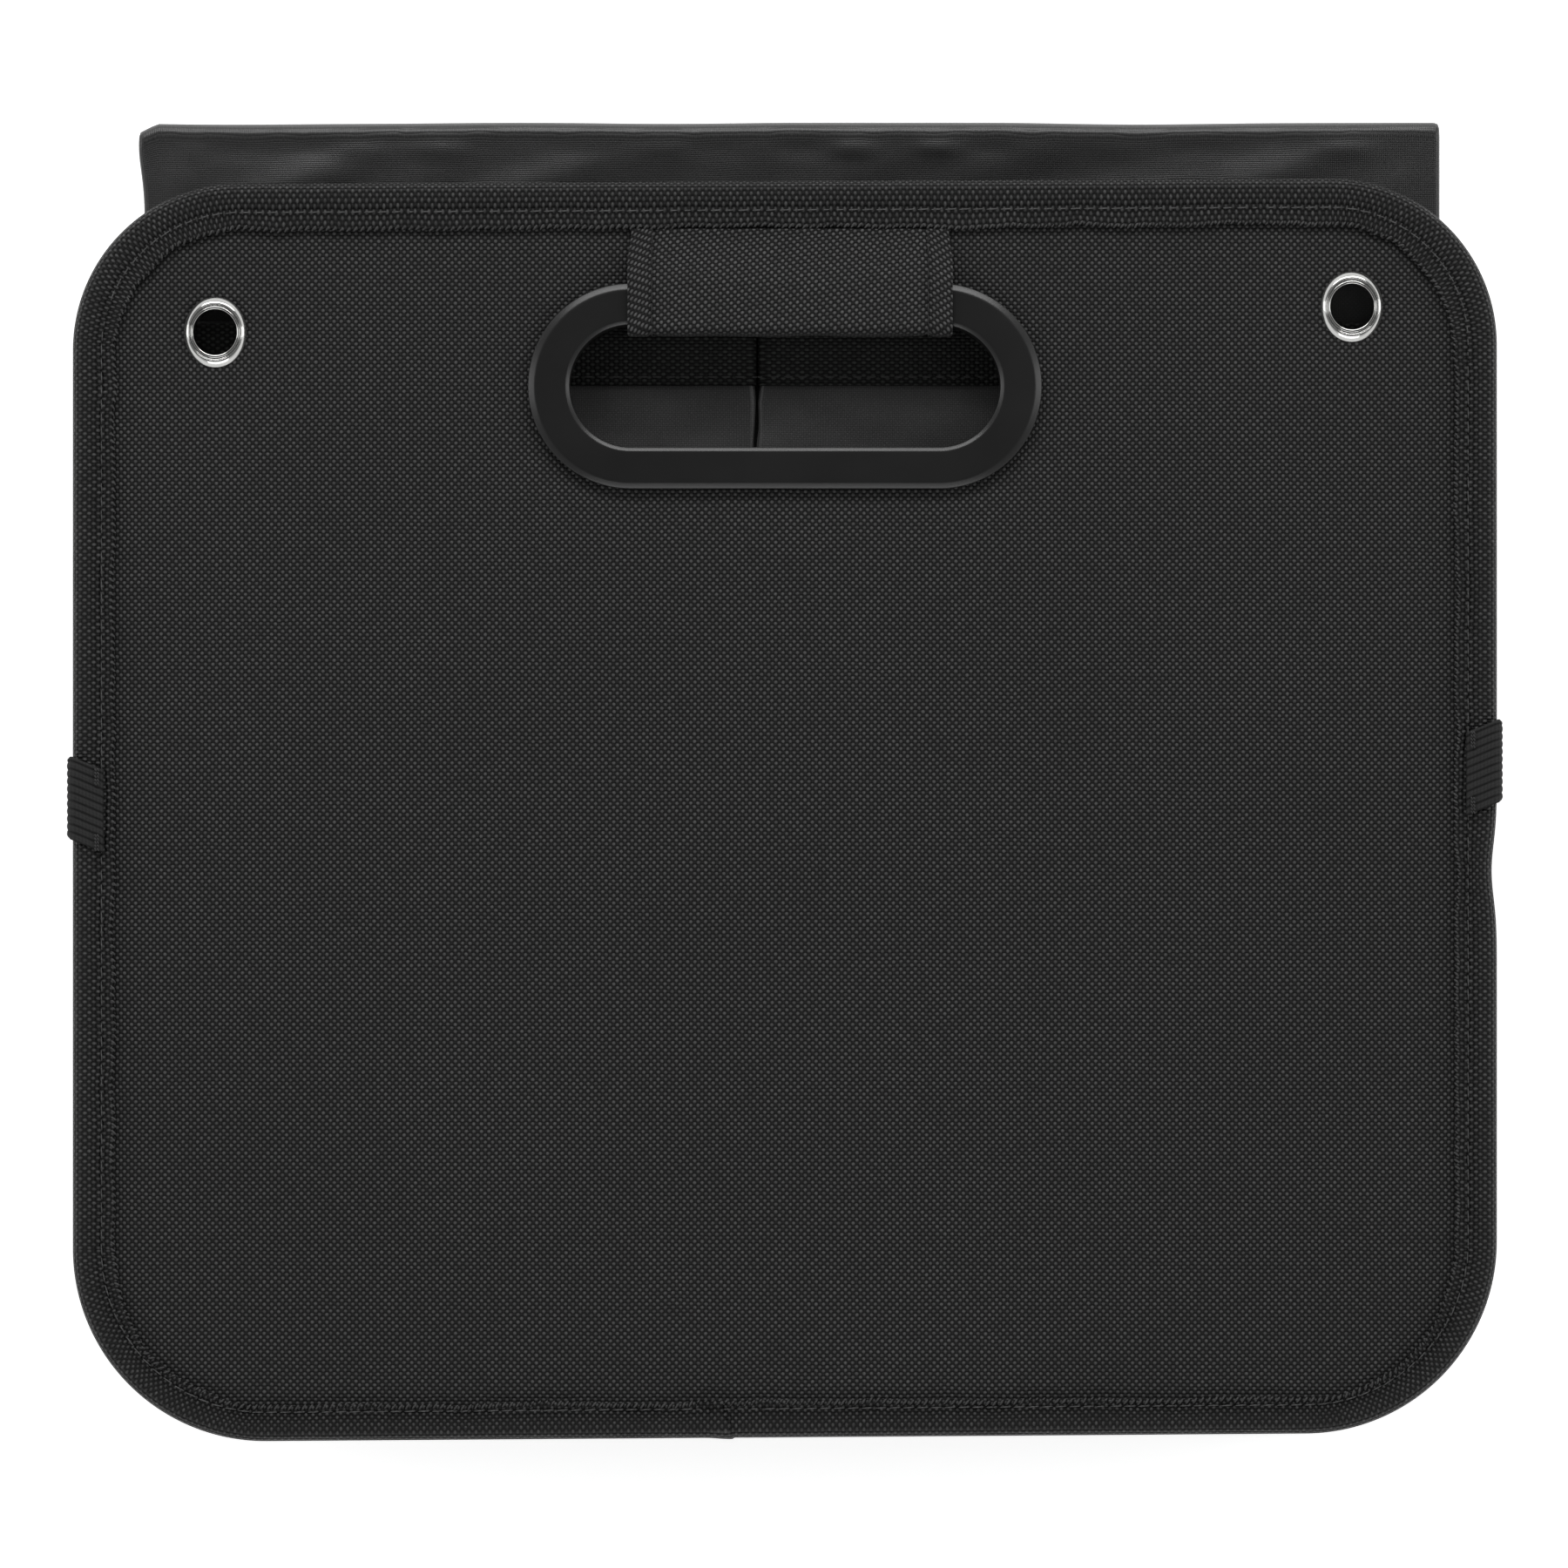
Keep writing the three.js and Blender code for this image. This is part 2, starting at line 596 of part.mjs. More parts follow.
// The base folds up under each compartment. Its corners turn over along a slanted fold,
// so each leaf is a triangle with two smaller triangles turned back against the walls
function baseClothGeometry() {
  const half = clothThickness / 2;
  const layer = (points, level) => solidFrom(plate(points, [], level - half, level + half));
  const solids = [];
  baseLevels.forEach((baseLevel, index) => {
    const cornerLevel = cornerLevels[index];
    const foldLine = index < 2 ? foldLineShift : -foldLineShift;
    const tipOffset = foldGap / 2 - clearance - half;
    const apex = wallEdge + baseBottom;
    const left = new THREE.Vector2(-baseHalfWidth, baseBottom);
    const right = new THREE.Vector2(baseHalfWidth, baseBottom);
    const leftTip = new THREE.Vector2(foldLine - tipOffset, apex);
    const rightTip = new THREE.Vector2(foldLine + tipOffset, apex);
    solids.push(layer([left, right, rightTip, leftTip], baseLevel));
    for (const [corner, tip] of [[left, leftTip], [right, rightTip]]) {
      const foot = new THREE.Vector2(tip.x, baseBottom);
      const turned = corner.x < 0 ? [corner, foot, tip] : [foot, corner, tip];
      solids.push(layer(turned, cornerLevel));
      const slant = ribbonOutline([corner, tip], clothThickness);
      const span = [baseLevel, cornerLevel].sort((a, b) => a - b);
      solids.push(solidFrom(plate(slant.reverse(), [], span[0] - half, span[1] + half)));
      const across = [Math.min(tip.x - half, tip.x + half), Math.max(tip.x - half, tip.x + half)];
      const partner = cornerLevels[index % 2 === 0 ? index + 1 : index];
      if (index % 2 === 0) {
        solids.push(solidFrom(box(across, [baseBottom, apex], [partner - half, cornerLevel + half])));
      }
    }
  });
  const underDivider = [baseLevels[2] - half, baseLevels[1] + half];
  const across = [-baseHalfWidth, baseHalfWidth];
  solids.push(solidFrom(box(across, [baseBottom, baseBottom + clothThickness], underDivider)));
  return trimmedToPanel(geometryFrom(solids.reduce((whole, solid) => whole.add(solid))));
}

const coverMiddle = (coverTop + coverBottom) / 2;

// A sheet of the folded bottom board: rounded low corners, and nearly square ones at the fold
function boardOutline(inset, top) {
  const low = coverShift - coverWidth / 2 + inset;
  const high = coverShift + coverWidth / 2 - inset;
  const bottom = coverBottomEdge + inset;
  return roundedOutline([
    { at: new THREE.Vector2(low, bottom), radius: coverLowCorner - inset },
    { at: new THREE.Vector2(high, bottom), radius: coverLowCorner - inset },
    { at: new THREE.Vector2(high, top), radius: coverFoldCorner },
    { at: new THREE.Vector2(low, top), radius: coverFoldCorner },
  ], coverCornerSteps).map(({ point }) => point);
}

// The cover is one folded sleeve, closed at the top fold and at the sides and open at the bottom
function coverGeometry() {
  const bend = coverDepth / 2;
  const middle = new THREE.Vector2(coverTopEdge - bend, coverMiddle);
  const round = arcPoints(middle, bend, -Math.PI / 2, Math.PI, 2 * bendSteps).map(({ point }) => point);
  const hingeTop = coverTopEdge - coverFoldDepth;
  const profile = [
    new THREE.Vector2(coverBottomEdge, coverBottom),
    ...round,
    new THREE.Vector2(coverBottomEdge, coverTop),
    new THREE.Vector2(coverBottomEdge, coverMiddle + coverHingeGap / 2),
    new THREE.Vector2(hingeTop, coverMiddle + coverHingeGap / 2),
    new THREE.Vector2(hingeTop, coverMiddle - coverHingeGap / 2),
    new THREE.Vector2(coverBottomEdge, coverMiddle - coverHingeGap / 2),
  ];
  const low = coverShift - coverWidth / 2;
  const high = coverShift + coverWidth / 2;
  let sleeve = solidFrom(plate(profile, [], low, high).applyMatrix4(drawnInYZ));
  sleeve = sleeve.intersect(solidFrom(plate(boardOutline(0, coverTopEdge), [], coverBottom, coverTop)));
  for (const [bottom, top] of pocketHeights()) {
    const pocket = plate(boardOutline(coverSeam, hingeTop), [], bottom, top);
    const mouth = box(
      [low + coverLowCorner, high - coverLowCorner],
      [coverBottomEdge - clearance, coverBottomEdge + coverLowCorner],
      [bottom, top],
    );
    sleeve = sleeve.subtract(solidFrom(pocket)).subtract(solidFrom(mouth));
  }
  return geometryFrom(sleeve);
}

function pocketHeights() {
  const front = coverTop - clothThickness;
  const rear = coverBottom + clothThickness;
  return [[front - pocketDepth, front], [rear, rear + pocketDepth]];
}

function baseBoard(name, pocket) {
  const outline = boardOutline(coverSeam + clearance, coverTopEdge - coverFoldDepth - clearance);
  return part(name, plate(outline, [], pocket[0] + clearance, pocket[1] - clearance), 'board');
}

// A strap round the edge of the stack, slanting down on the front panel
function strapGeometry(side, height) {
  const half = strapThickness / 2;
  const outer = side * (panelWidth / 2 + clearance + half);
  const front = bindingTop + clearance + half;
  const rear = rearPanelLevel - front;
  const path = roundedPath([
    new THREE.Vector2(side * (panelWidth / 2 - strapFrontReach), front),
    new THREE.Vector2(outer, front),
    new THREE.Vector2(outer, rear),
    new THREE.Vector2(side * (panelWidth / 2 - strapRearReach), rear),
  ], strapBend, bendSteps);
  const geometry = standingRibbon(path, strapThickness, height - strapWidth / 2, height + strapWidth / 2);
  const position = geometry.attributes.position;
  for (let index = 0; index < position.count; index += 1) {
    const inside = panelWidth / 2 - Math.abs(position.getX(index));
    const onFront = position.getZ(index) > bindingTop;
    const drop = onFront ? strapSlope * Math.max(inside, 0) : 0;
    position.setY(index, position.getY(index) - drop);
  }
  return geometry;
}

function strapPatch(side, height) {
  const inner = panelWidth / 2 - strapRearReach + clearance;
  const outer = inner + patchLength;
  const across = side < 0 ? [-outer, -inner] : [inner, outer];
  const seat = rearPanelLevel - faceTop - clearance;
  const top = rearPanelLevel - bindingTop;
  return box(across, [height - strapWidth / 2, height + strapWidth / 2], [top, seat]);
}

const organizer = new THREE.Group();
const frontPanel = endPanel('front');
const rearPanel = endPanel('rear');
rearPanel.position.z = rearPanelLevel;
rearPanel.rotation.y = Math.PI;
organizer.add(frontPanel, rearPanel);

for (const [name, side] of [['left', -1], ['right', 1]]) {
  const path = wallPath(side);
  const wall = trimmedToPanel(standingRibbon(path, clothThickness, wallBottom, wallTop));
  const height = side < 0 ? leftStrapHeight : rightStrapHeight;
  organizer.add(part(`${name}_side_wall`, wall, 'nylon'));
  organizer.add(part(`${name}_wall_hem`, hemGeometry(path, clothThickness), 'webbing'));
  organizer.add(part(`${name}_strap`, strapGeometry(side, height), 'elastic'));
  organizer.add(part(`${name}_strap_patch`, strapPatch(side, height), 'hook'));
}

const dividerMiddle = (dividerTop + dividerBottom) / 2;
const dividerPath = [-dividerHalfWidth, dividerHalfWidth].map((x) => new THREE.Vector2(x, dividerMiddle));
const [frontPocket, rearPocket] = pocketHeights();
const dividerBody = trimmedToPanel(standingRibbon(dividerPath, dividerThickness, wallBottom, wallTop));
organizer.add(part('base_cloth', baseClothGeometry(), 'nylon'));
organizer.add(part('divider', dividerBody, 'nylon'));
organizer.add(part('divider_hem', hemGeometry(dividerPath, dividerThickness), 'webbing'));
organizer.add(part('bottom_board_cover', coverGeometry(), 'nylon'));
organizer.add(baseBoard('bottom_board_front', frontPocket));
organizer.add(baseBoard('bottom_board_rear', rearPocket));

// The origin is the middle of the footprint, on the surface that the object lies on
const bounds = new THREE.Box3().setFromObject(organizer);
const centre = bounds.getCenter(new THREE.Vector3());
organizer.position.set(-centre.x, -centre.y, -bounds.min.z);

export default organizer;
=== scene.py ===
# A collapsed car trunk organizer, dressed for the studio: cloth, tape, elastic, plastic and metal

import math

import bmesh
import bpy
import numpy as np
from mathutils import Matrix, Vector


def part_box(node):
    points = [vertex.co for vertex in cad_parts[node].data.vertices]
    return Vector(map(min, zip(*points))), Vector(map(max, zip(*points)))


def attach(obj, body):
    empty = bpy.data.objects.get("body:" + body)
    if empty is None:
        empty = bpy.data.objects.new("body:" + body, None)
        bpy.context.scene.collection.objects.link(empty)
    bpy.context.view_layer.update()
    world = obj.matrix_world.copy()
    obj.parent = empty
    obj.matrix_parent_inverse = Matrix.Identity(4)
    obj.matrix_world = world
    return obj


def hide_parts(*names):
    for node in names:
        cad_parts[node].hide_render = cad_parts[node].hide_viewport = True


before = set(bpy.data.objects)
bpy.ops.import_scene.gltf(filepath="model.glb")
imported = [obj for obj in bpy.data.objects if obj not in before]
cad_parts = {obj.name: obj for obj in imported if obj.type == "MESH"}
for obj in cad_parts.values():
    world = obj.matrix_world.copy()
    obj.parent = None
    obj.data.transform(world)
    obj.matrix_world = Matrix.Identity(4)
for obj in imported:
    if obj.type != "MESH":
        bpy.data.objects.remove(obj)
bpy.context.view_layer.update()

MM = 0.001

# Panel, in millimetres, measured from the middle of its board
PANEL_WIDTH = 329.4
PANEL_HEIGHT = 292.6
TOP_EDGE_DROP = 1.6
BOTTOM_EDGE_RISE = 2.4
TOP_CORNER_RADIUS = 38.5
BOTTOM_CORNER_RADIUS = 44.5
OUTLINE_STEP = 1.25
SHEET_INSET = 2.5

BINDING_TOP = 3.9
BINDING_BACK = -3.8
BINDING_SEAT = 2.75
BINDING_BACK_SEAT = -2.65
BINDING_WIDTH = 10.5
BINDING_WALL = 1.15
BINDING_NOSE = 2.6
BINDING_SEAM = 6.9
STITCH_PITCH = 3.2
TAPE_END_X = -12.0
PINCH_Y = -14.0
PINCH_DEPTH = 1.2

# Grip frame and handle loop
GRIP_LENGTH = 118.6
GRIP_HEIGHT = 47.4
GRIP_Y = 97.9
GRIP_BAR = 9.6
GRIP_SEAT = 2.7
GRIP_TOP = 5.3
GRIP_BACK = -4.4
COLLAR_INSET = 7.4
HOOK_BACK = -5.9
HOOK_HALF_WIDTH = 3.5
LOOP_LEFT = -36.3
LOOP_WIDTH = 75.0
LOOP_THICKNESS = 1.0
LOOP_HEM = 5.6
LOOP_BACK_END = -3.1

# Eyelets, and the cloth round them: cut at one radius, then drawn to the hole's edge
EYELET_HOLE = 5.15
EYELET_FLANGE = 8.15
EYELET_TURNS = 192
EYELETS = {"left": (-131.6, 110.4), "right": (131.0, 116.3)}
CLOTH_CUT = 4.6
CLOTH_HOLE = 6.4
CLOTH_DRAWN = 7.2

# Cloth between the panels
CLOTH = 0.4
LEAF_PITCH = 2.5
WALL_DEPTH = 7.3
HEM_WIDTH = 15.0
HEM_DEPTH = 2.15
HEM_CLOTH = 1.15
FOLD_SHIFT = -6.4
FOLD_GAP = 2.4
SEAM_INSET = 3.2
DIVIDER_DEPTH = 3.85
COVER_THICKNESS = 0.35
COVER_LOW_CORNER = 20.0
COVER_LIFT = 1.7

# Straps
STRAP_WIDTH = 20.0
STRAP_THICKNESS = 0.85
STRAP_SLOPE = 0.42
STRAP_RIBS = 10.5
RIB_HEIGHT = 0.22

UP = {"front": (0, 0, 1), "rear": (0, 0, -1)}


def node_span(name):
    """A node's lowest and highest corner in millimetres."""
    low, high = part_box(name)
    return np.array(low) / MM, np.array(high) / MM


def middle_of(name):
    low, high = node_span(name)
    return (low + high) / 2


FRONT_Z = middle_of("front_board")[2]
REAR_Z = middle_of("rear_board")[2]
PANEL_Y = middle_of("front_grip_frame")[1] - GRIP_Y


def on_panel(points, panel):
    """Panel coordinates to the frame: the rear panel is the front one turned round its long middle line."""
    points = np.asarray(points, float)
    turn, level = (1, FRONT_Z) if panel == "front" else (-1, REAR_Z)
    return points * [turn, 1, turn] + [0, PANEL_Y, level]


def smooth_step(value, low, high):
    t = np.clip((np.asarray(value, float) - low) / (high - low), 0, 1)
    return t * t * (3 - 2 * t)


def bell(value, centre, width):
    return np.exp(-((value - centre) / width) ** 2)


def soft_noise(x, y, wavelength, seed, waves=9):
    """Smooth wandering values of about -1 to 1, the same on each run."""
    random = np.random.default_rng(seed)
    total = 0
    for angle, stretch, phase in random.uniform(0, 1, (waves, 3)):
        pace = 2 * math.pi / wavelength * (0.6 + 0.8 * stretch)
        way = 2 * math.pi * angle
        total = total + np.sin(pace * (x * math.cos(way) + y * math.sin(way)) + 2 * math.pi * phase)
    return total / math.sqrt(waves)


# Lines and outlines


def path_lengths(path):
    return np.concatenate([[0], np.cumsum(np.linalg.norm(np.diff(path, axis=0), axis=1))])


def path_normals(path, first=0):
    """The normals of a flat line, turned so that the first one points up or down if that is asked."""
    along = np.gradient(path, axis=0)
    along /= np.linalg.norm(along, axis=1)[:, None]
    normals = np.stack([-along[:, 1], along[:, 0]], 1)
    return -normals if first * normals[0, 1] < 0 else normals


def off_path(path, normals, offset):
    """Both coordinates of points that stand off a line."""
    return path[:, :1] + normals[:, :1] * offset, path[:, 1:] + normals[:, 1:] * offset


def at_places(values, lengths, places):
    return np.stack([np.interp(places, lengths, values[:, axis]) for axis in (0, 1)], 1)


def arc(centre, radius, start, turn, steps):
    angles = start + turn * np.linspace(0, 1, steps + 1)
    normals = np.stack([np.cos(angles), np.sin(angles)], 1)
    return np.asarray(centre) + radius * normals, normals


def bend(before, at, after, radius):
    """The arc that rounds a corner: its centre, its first angle and its turn."""
    way_in = (at - before) / np.linalg.norm(at - before)
    way_out = (after - at) / np.linalg.norm(after - at)
    turn = math.atan2(way_in[0] * way_out[1] - way_in[1] * way_out[0], way_in @ way_out)
    side = math.copysign(1, turn)
    start = at - way_in * radius * math.tan(abs(turn) / 2)
    centre = start + side * radius * np.array([-way_in[1], way_in[0]])
    return centre, math.atan2(way_in[1], way_in[0]) - side * math.pi / 2, turn


def even_outline(points, normals, step):
    closed, closed_normals = (np.concatenate([values, values[:1]]) for values in (points, normals))
    along = path_lengths(closed)
    places = np.linspace(0, along[-1], int(along[-1] / step) + 1)
    turned = at_places(closed_normals, along, places)
    turned /= np.linalg.norm(turned, axis=1)[:, None]
    return at_places(closed, along, places), turned, places


def rounded_outline(corners, step):
    """A convex outline with rounded corners, as evenly spaced points and their outward normals."""
    corners = np.array(corners, float)
    arcs = []
    for before, at, after in zip(np.roll(corners, 1, 0), corners, np.roll(corners, -1, 0)):
        centre, begin, turn = bend(before[:2], at[:2], after[:2], at[2])
        arcs.append(arc(centre, at[2], begin, turn, max(int(at[2] * turn / step), 4)))
    points, normals = (np.concatenate(values) for values in zip(*arcs))
    return even_outline(points, normals, step)


def finer_where(points, normals, lengths, chosen, pieces):
    """The same outline with the chosen steps cut into smaller ones."""
    places = []
    for index in range(len(points) - 1):
        count = pieces if chosen(points[index]) else 1
        places.extend(np.linspace(lengths[index], lengths[index + 1], count + 1)[:-1])
    places.append(lengths[-1])
    return at_places(points, lengths, places), at_places(normals, lengths, places), np.array(places)


def stadium(length, height, step):
    radius = height / 2
    reach = length / 2 - radius
    steps = int(math.pi * radius / step)
    ends = [arc((side * reach, GRIP_Y), radius, -side * math.pi / 2, math.pi, steps) for side in (1, -1)]
    points, normals = (np.concatenate(values) for values in zip(*ends))
    return even_outline(points, normals, step)


def rounded_path(corners, radii, steps, step):
    """Straight runs with rounded bends, of one radius or one for each, and a point at least every step."""
    corners = [np.asarray(corner, float) for corner in corners]
    radii = np.broadcast_to(radii, len(corners) - 2)
    path = [corners[0]]
    for before, at, after, radius in zip(corners, corners[1:], corners[2:], radii):
        centre, begin, turn = bend(before, at, after, radius)
        path.extend(arc(centre, radius, begin, turn, steps)[0])
    path.append(corners[-1])
    dense = [path[0]]
    for point in path[1:]:
        gap = np.linalg.norm(point - dense[-1])
        if gap < 1e-3:
            continue
        runs = max(math.ceil(gap / step), 1)
        start = dense[-1]
        dense.extend(start + (point - start) * share for share in np.linspace(0, 1, runs + 1)[1:])
    return np.array(dense)


HALF_W, HALF_H = PANEL_WIDTH / 2, PANEL_HEIGHT / 2
PANEL_CORNERS = [
    (-HALF_W, -HALF_H, BOTTOM_CORNER_RADIUS),
    (HALF_W, -HALF_H + BOTTOM_EDGE_RISE, BOTTOM_CORNER_RADIUS),
    (HALF_W, HALF_H, TOP_CORNER_RADIUS),
    (-HALF_W, HALF_H - TOP_EDGE_DROP, TOP_CORNER_RADIUS),
]
# Finer where the tape's two ends overlap
OUTLINE, OUTLINE_NORMALS, OUTLINE_LENGTHS = finer_where(
    *rounded_outline(PANEL_CORNERS, OUTLINE_STEP), lambda at: abs(at[0] - TAPE_END_X) < 6 and at[1] < 0, 6)


def depth_inside(x, y):
    """How far inside the panel's outline a point lies, and the way out of it."""
    points = np.stack([np.ravel(x), np.ravel(y)], 1)
    outline, normals = OUTLINE[::4], OUTLINE_NORMALS[::4]
    reach = points @ normals.T - np.sum(outline * normals, 1)
    return -reach.max(1).reshape(np.shape(x)), normals[reach.argmax(1)].reshape(*np.shape(x), 2)


def kept_inside(x, y, z):
    """Cloth sewn round the panel's corners: points too near the panel's edge are drawn in from it."""
    points = np.stack(np.broadcast_arrays(x, y, z), -1)
    depth, outward = depth_inside(points[..., 0], points[..., 1] - PANEL_Y)
    points[..., :2] -= outward * np.maximum(SEAM_INSET - depth, 0)[..., None]
    return points


# Meshes


def net_faces(rows, columns, closed_columns=False):
    last = columns if closed_columns else columns - 1
    row, column = np.meshgrid(np.arange(rows - 1), np.arange(last), indexing="ij")
    after = (column + 1) % columns
    here, below = row * columns, (row + 1) * columns
    return np.stack([here + column, below + column, below + after, here + after], -1).reshape(-1, 4)


def net_map(along, across):
    """The map of a net of points: lengths down its rows and along them."""
    return np.stack(np.broadcast_arrays(along[:, None], across[None, :]), -1)


def linked(name, data):
    piece = bpy.data.objects.new(name, data)
    bpy.context.scene.collection.objects.link(piece)
    return piece


def new_piece(name, points, faces, material, uv=None, merge=False, closed=False, smooth=True):
    """A mesh object from points in millimetres in the frame, with its map in millimetres."""
    mesh = bpy.data.meshes.new(name)
    flat_points = np.asarray(points, float).reshape(-1, 3) * MM
    mesh.from_pydata(flat_points.tolist(), [], [list(map(int, face)) for face in faces])
    if uv is not None:
        layer = mesh.uv_layers.new(name="UVMap")
        corners = np.zeros(len(mesh.loops), dtype=np.int32)
        mesh.loops.foreach_get("vertex_index", corners)
        layer.data.foreach_set("uv", np.asarray(uv, float).reshape(-1, 2)[corners].ravel())
    if closed:
        shape = bmesh.new()
        shape.from_mesh(mesh)
        if merge:
            bmesh.ops.remove_doubles(shape, verts=shape.verts, dist=1e-6)
        bmesh.ops.recalc_face_normals(shape, faces=shape.faces)
        shape.to_mesh(mesh)
        shape.free()
    mesh.polygons.foreach_set("use_smooth", [smooth] * len(mesh.polygons))
    mesh.materials.append(material)
    return linked(name, mesh)


def tube(name, rings, material, uv=None, caps=()):
    """A closed skin over rows of points, each of which ends where it starts."""
    faces = [*net_faces(*rings.shape[:2]), *caps]
    return new_piece(name, rings, faces, material, uv=uv, merge=True, closed=True)


def ringed(points):
    return np.concatenate([points, points[:, :1]], 1)


def flat_tube(name, front, back, material, uv):
    """A flat band from its front and its back, with both ends shut by quads between the two."""
    rings = ringed(np.concatenate([front, back[:, ::-1]], 1))
    rows, columns = rings.shape[:2]
    width = front.shape[1]
    caps = [[base + i, base + i + 1, base + 2 * width - 2 - i, base + 2 * width - 1 - i]
            for base in (0, (rows - 1) * columns) for i in range(width - 1)]
    return tube(name, rings, material, uv, caps)


def prism(name, ends, material):
    """A solid with flat sides between two outlines of as many points."""
    count = len(ends[0])
    faces = [[i, (i + 1) % count, count + (i + 1) % count, count + i] for i in range(count)]
    faces += [list(range(count))[::-1], list(range(count, 2 * count))]
    return new_piece(name, np.concatenate(ends), faces, material, closed=True, smooth=False)


def surface_area(piece):
    """The area of a single layer of cloth, in square metres."""
    return sum(face.area for face in piece.data.polygons)


def applied(piece):
    """Swaps a piece's mesh for the result of its modifiers, and removes them."""
    graph = bpy.context.evaluated_depsgraph_get()
    mesh = bpy.data.meshes.new_from_object(piece.evaluated_get(graph))
    piece.modifiers.clear()
    old = piece.data
    piece.data = mesh
    bpy.data.meshes.remove(old)


def thickened(piece, thickness):
    solidify = piece.modifiers.new("thickness", "SOLIDIFY")
    solidify.thickness = thickness * MM
    solidify.offset = 0.0
    applied(piece)


def joined(name, pieces):
    """Several plain meshes as one piece."""
    shape = bmesh.new()
    material = pieces[0].data.materials[0]
    for piece in pieces:
        shape.from_mesh(piece.data)
        bpy.data.objects.remove(piece)
    mesh = bpy.data.meshes.new(name)
    shape.to_mesh(mesh)
    shape.free()
    mesh.materials.append(material)
    return linked(name, mesh)


def dressed(piece, slot, *nodes):
    """Puts a finished piece in the frame under its body, and hides the solids that it stands for; the slot is not
    used.
    """
    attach(piece, "root")
    if nodes:
        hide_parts(*nodes)


# Materials


def srgb(hex_value):
    """A colour written as sRGB hex, turned to linear."""
    channels = [((hex_value >> shift) & 255) / 255 for shift in (16, 8, 0)]
    return (*[c / 12.92 if c <= 0.04045 else ((c + 0.055) / 1.055) ** 2.4 for c in channels], 1.0)


def set_inputs(tree, node, inputs):
    for key, value in inputs.items():
        if isinstance(value, bpy.types.NodeSocket):
            tree.links.new(value, node.inputs[key])
        else:
            node.inputs[key].default_value = value


def add_node(tree, kind, inputs=None, **settings):
    """Adds a node with its settings, and links or sets its inputs."""
    node = tree.nodes.new(kind)
    for name, value in settings.items():
        setattr(node, name, value)
    set_inputs(tree, node, inputs or {})
    return node


def new_material(name, coordinates="Object"):
    """A material, its tree, its shader and a source of coordinates."""
    material = bpy.data.materials.new(name)
    material.use_nodes = True
    tree = material.node_tree
    source = add_node(tree, "ShaderNodeTexCoord").outputs[coordinates]
    return material, tree, tree.nodes["Principled BSDF"], source


def add_sockets(tree, way, *sockets):
    for name, kind in sockets:
        tree.interface.new_socket(name, in_out=way, socket_type=f"NodeSocket{kind}")


def weave_group():
    """Plain weave: each thread goes over one and under the next. Threads counts them, Lead lifts the weft."""
    group = bpy.data.node_groups.new("plain_weave", "ShaderNodeTree")
    add_sockets(group, "INPUT", ("Threads", "Vector"), ("Lead", "Float"))
    add_sockets(group, "OUTPUT", ("Height", "Float"), ("Weft", "Float"))
    start = add_node(group, "NodeGroupInput")
    turns = add_node(group, "ShaderNodeVectorMath", {0: start.outputs[0], "Scale": math.pi}, operation="SCALE")
    wave = add_node(group, "ShaderNodeVectorMath", {0: turns.outputs[0]}, operation="SINE")
    size = add_node(group, "ShaderNodeVectorMath", {0: wave.outputs[0]}, operation="ABSOLUTE")
    waves = add_node(group, "ShaderNodeSeparateXYZ", {0: wave.outputs[0]})
    sizes = add_node(group, "ShaderNodeSeparateXYZ", {0: size.outputs[0]})
    both = add_node(group, "ShaderNodeMath", {0: waves.outputs[0], 1: waves.outputs[1]}, operation="MULTIPLY")
    side = add_node(group, "ShaderNodeMath", {0: both.outputs[0]}, operation="SIGN")
    heights = []
    for across, along, direction in ((0, 1, 0.5), (1, 0, -0.5)):
        rise = add_node(group, "ShaderNodeMath", {0: side.outputs[0], 1: direction}, operation="MULTIPLY")
        crown = add_node(group, "ShaderNodeMath", {0: rise.outputs[0], 1: sizes.outputs[along]},
                         operation="MULTIPLY")
        half = add_node(group, "ShaderNodeMath", {0: sizes.outputs[across], 1: 0.5, 2: crown.outputs[0]},
                        operation="MULTIPLY_ADD")
        heights.append(half.outputs[0])
    sunk = add_node(group, "ShaderNodeMath", {0: heights[0], 1: start.outputs["Lead"]}, operation="SUBTRACT")
    lifted = add_node(group, "ShaderNodeMath", {0: heights[1], 1: start.outputs["Lead"]}, operation="ADD")
    top = add_node(group, "ShaderNodeMath", {0: sunk.outputs[0], 1: lifted.outputs[0]}, operation="MAXIMUM")
    weft = add_node(group, "ShaderNodeMath", {0: lifted.outputs[0], 1: sunk.outputs[0]}, operation="GREATER_THAN")
    add_node(group, "NodeGroupOutput", {"Height": top.outputs[0], "Weft": weft.outputs[0]})
    return group


PLAIN_WEAVE = weave_group()


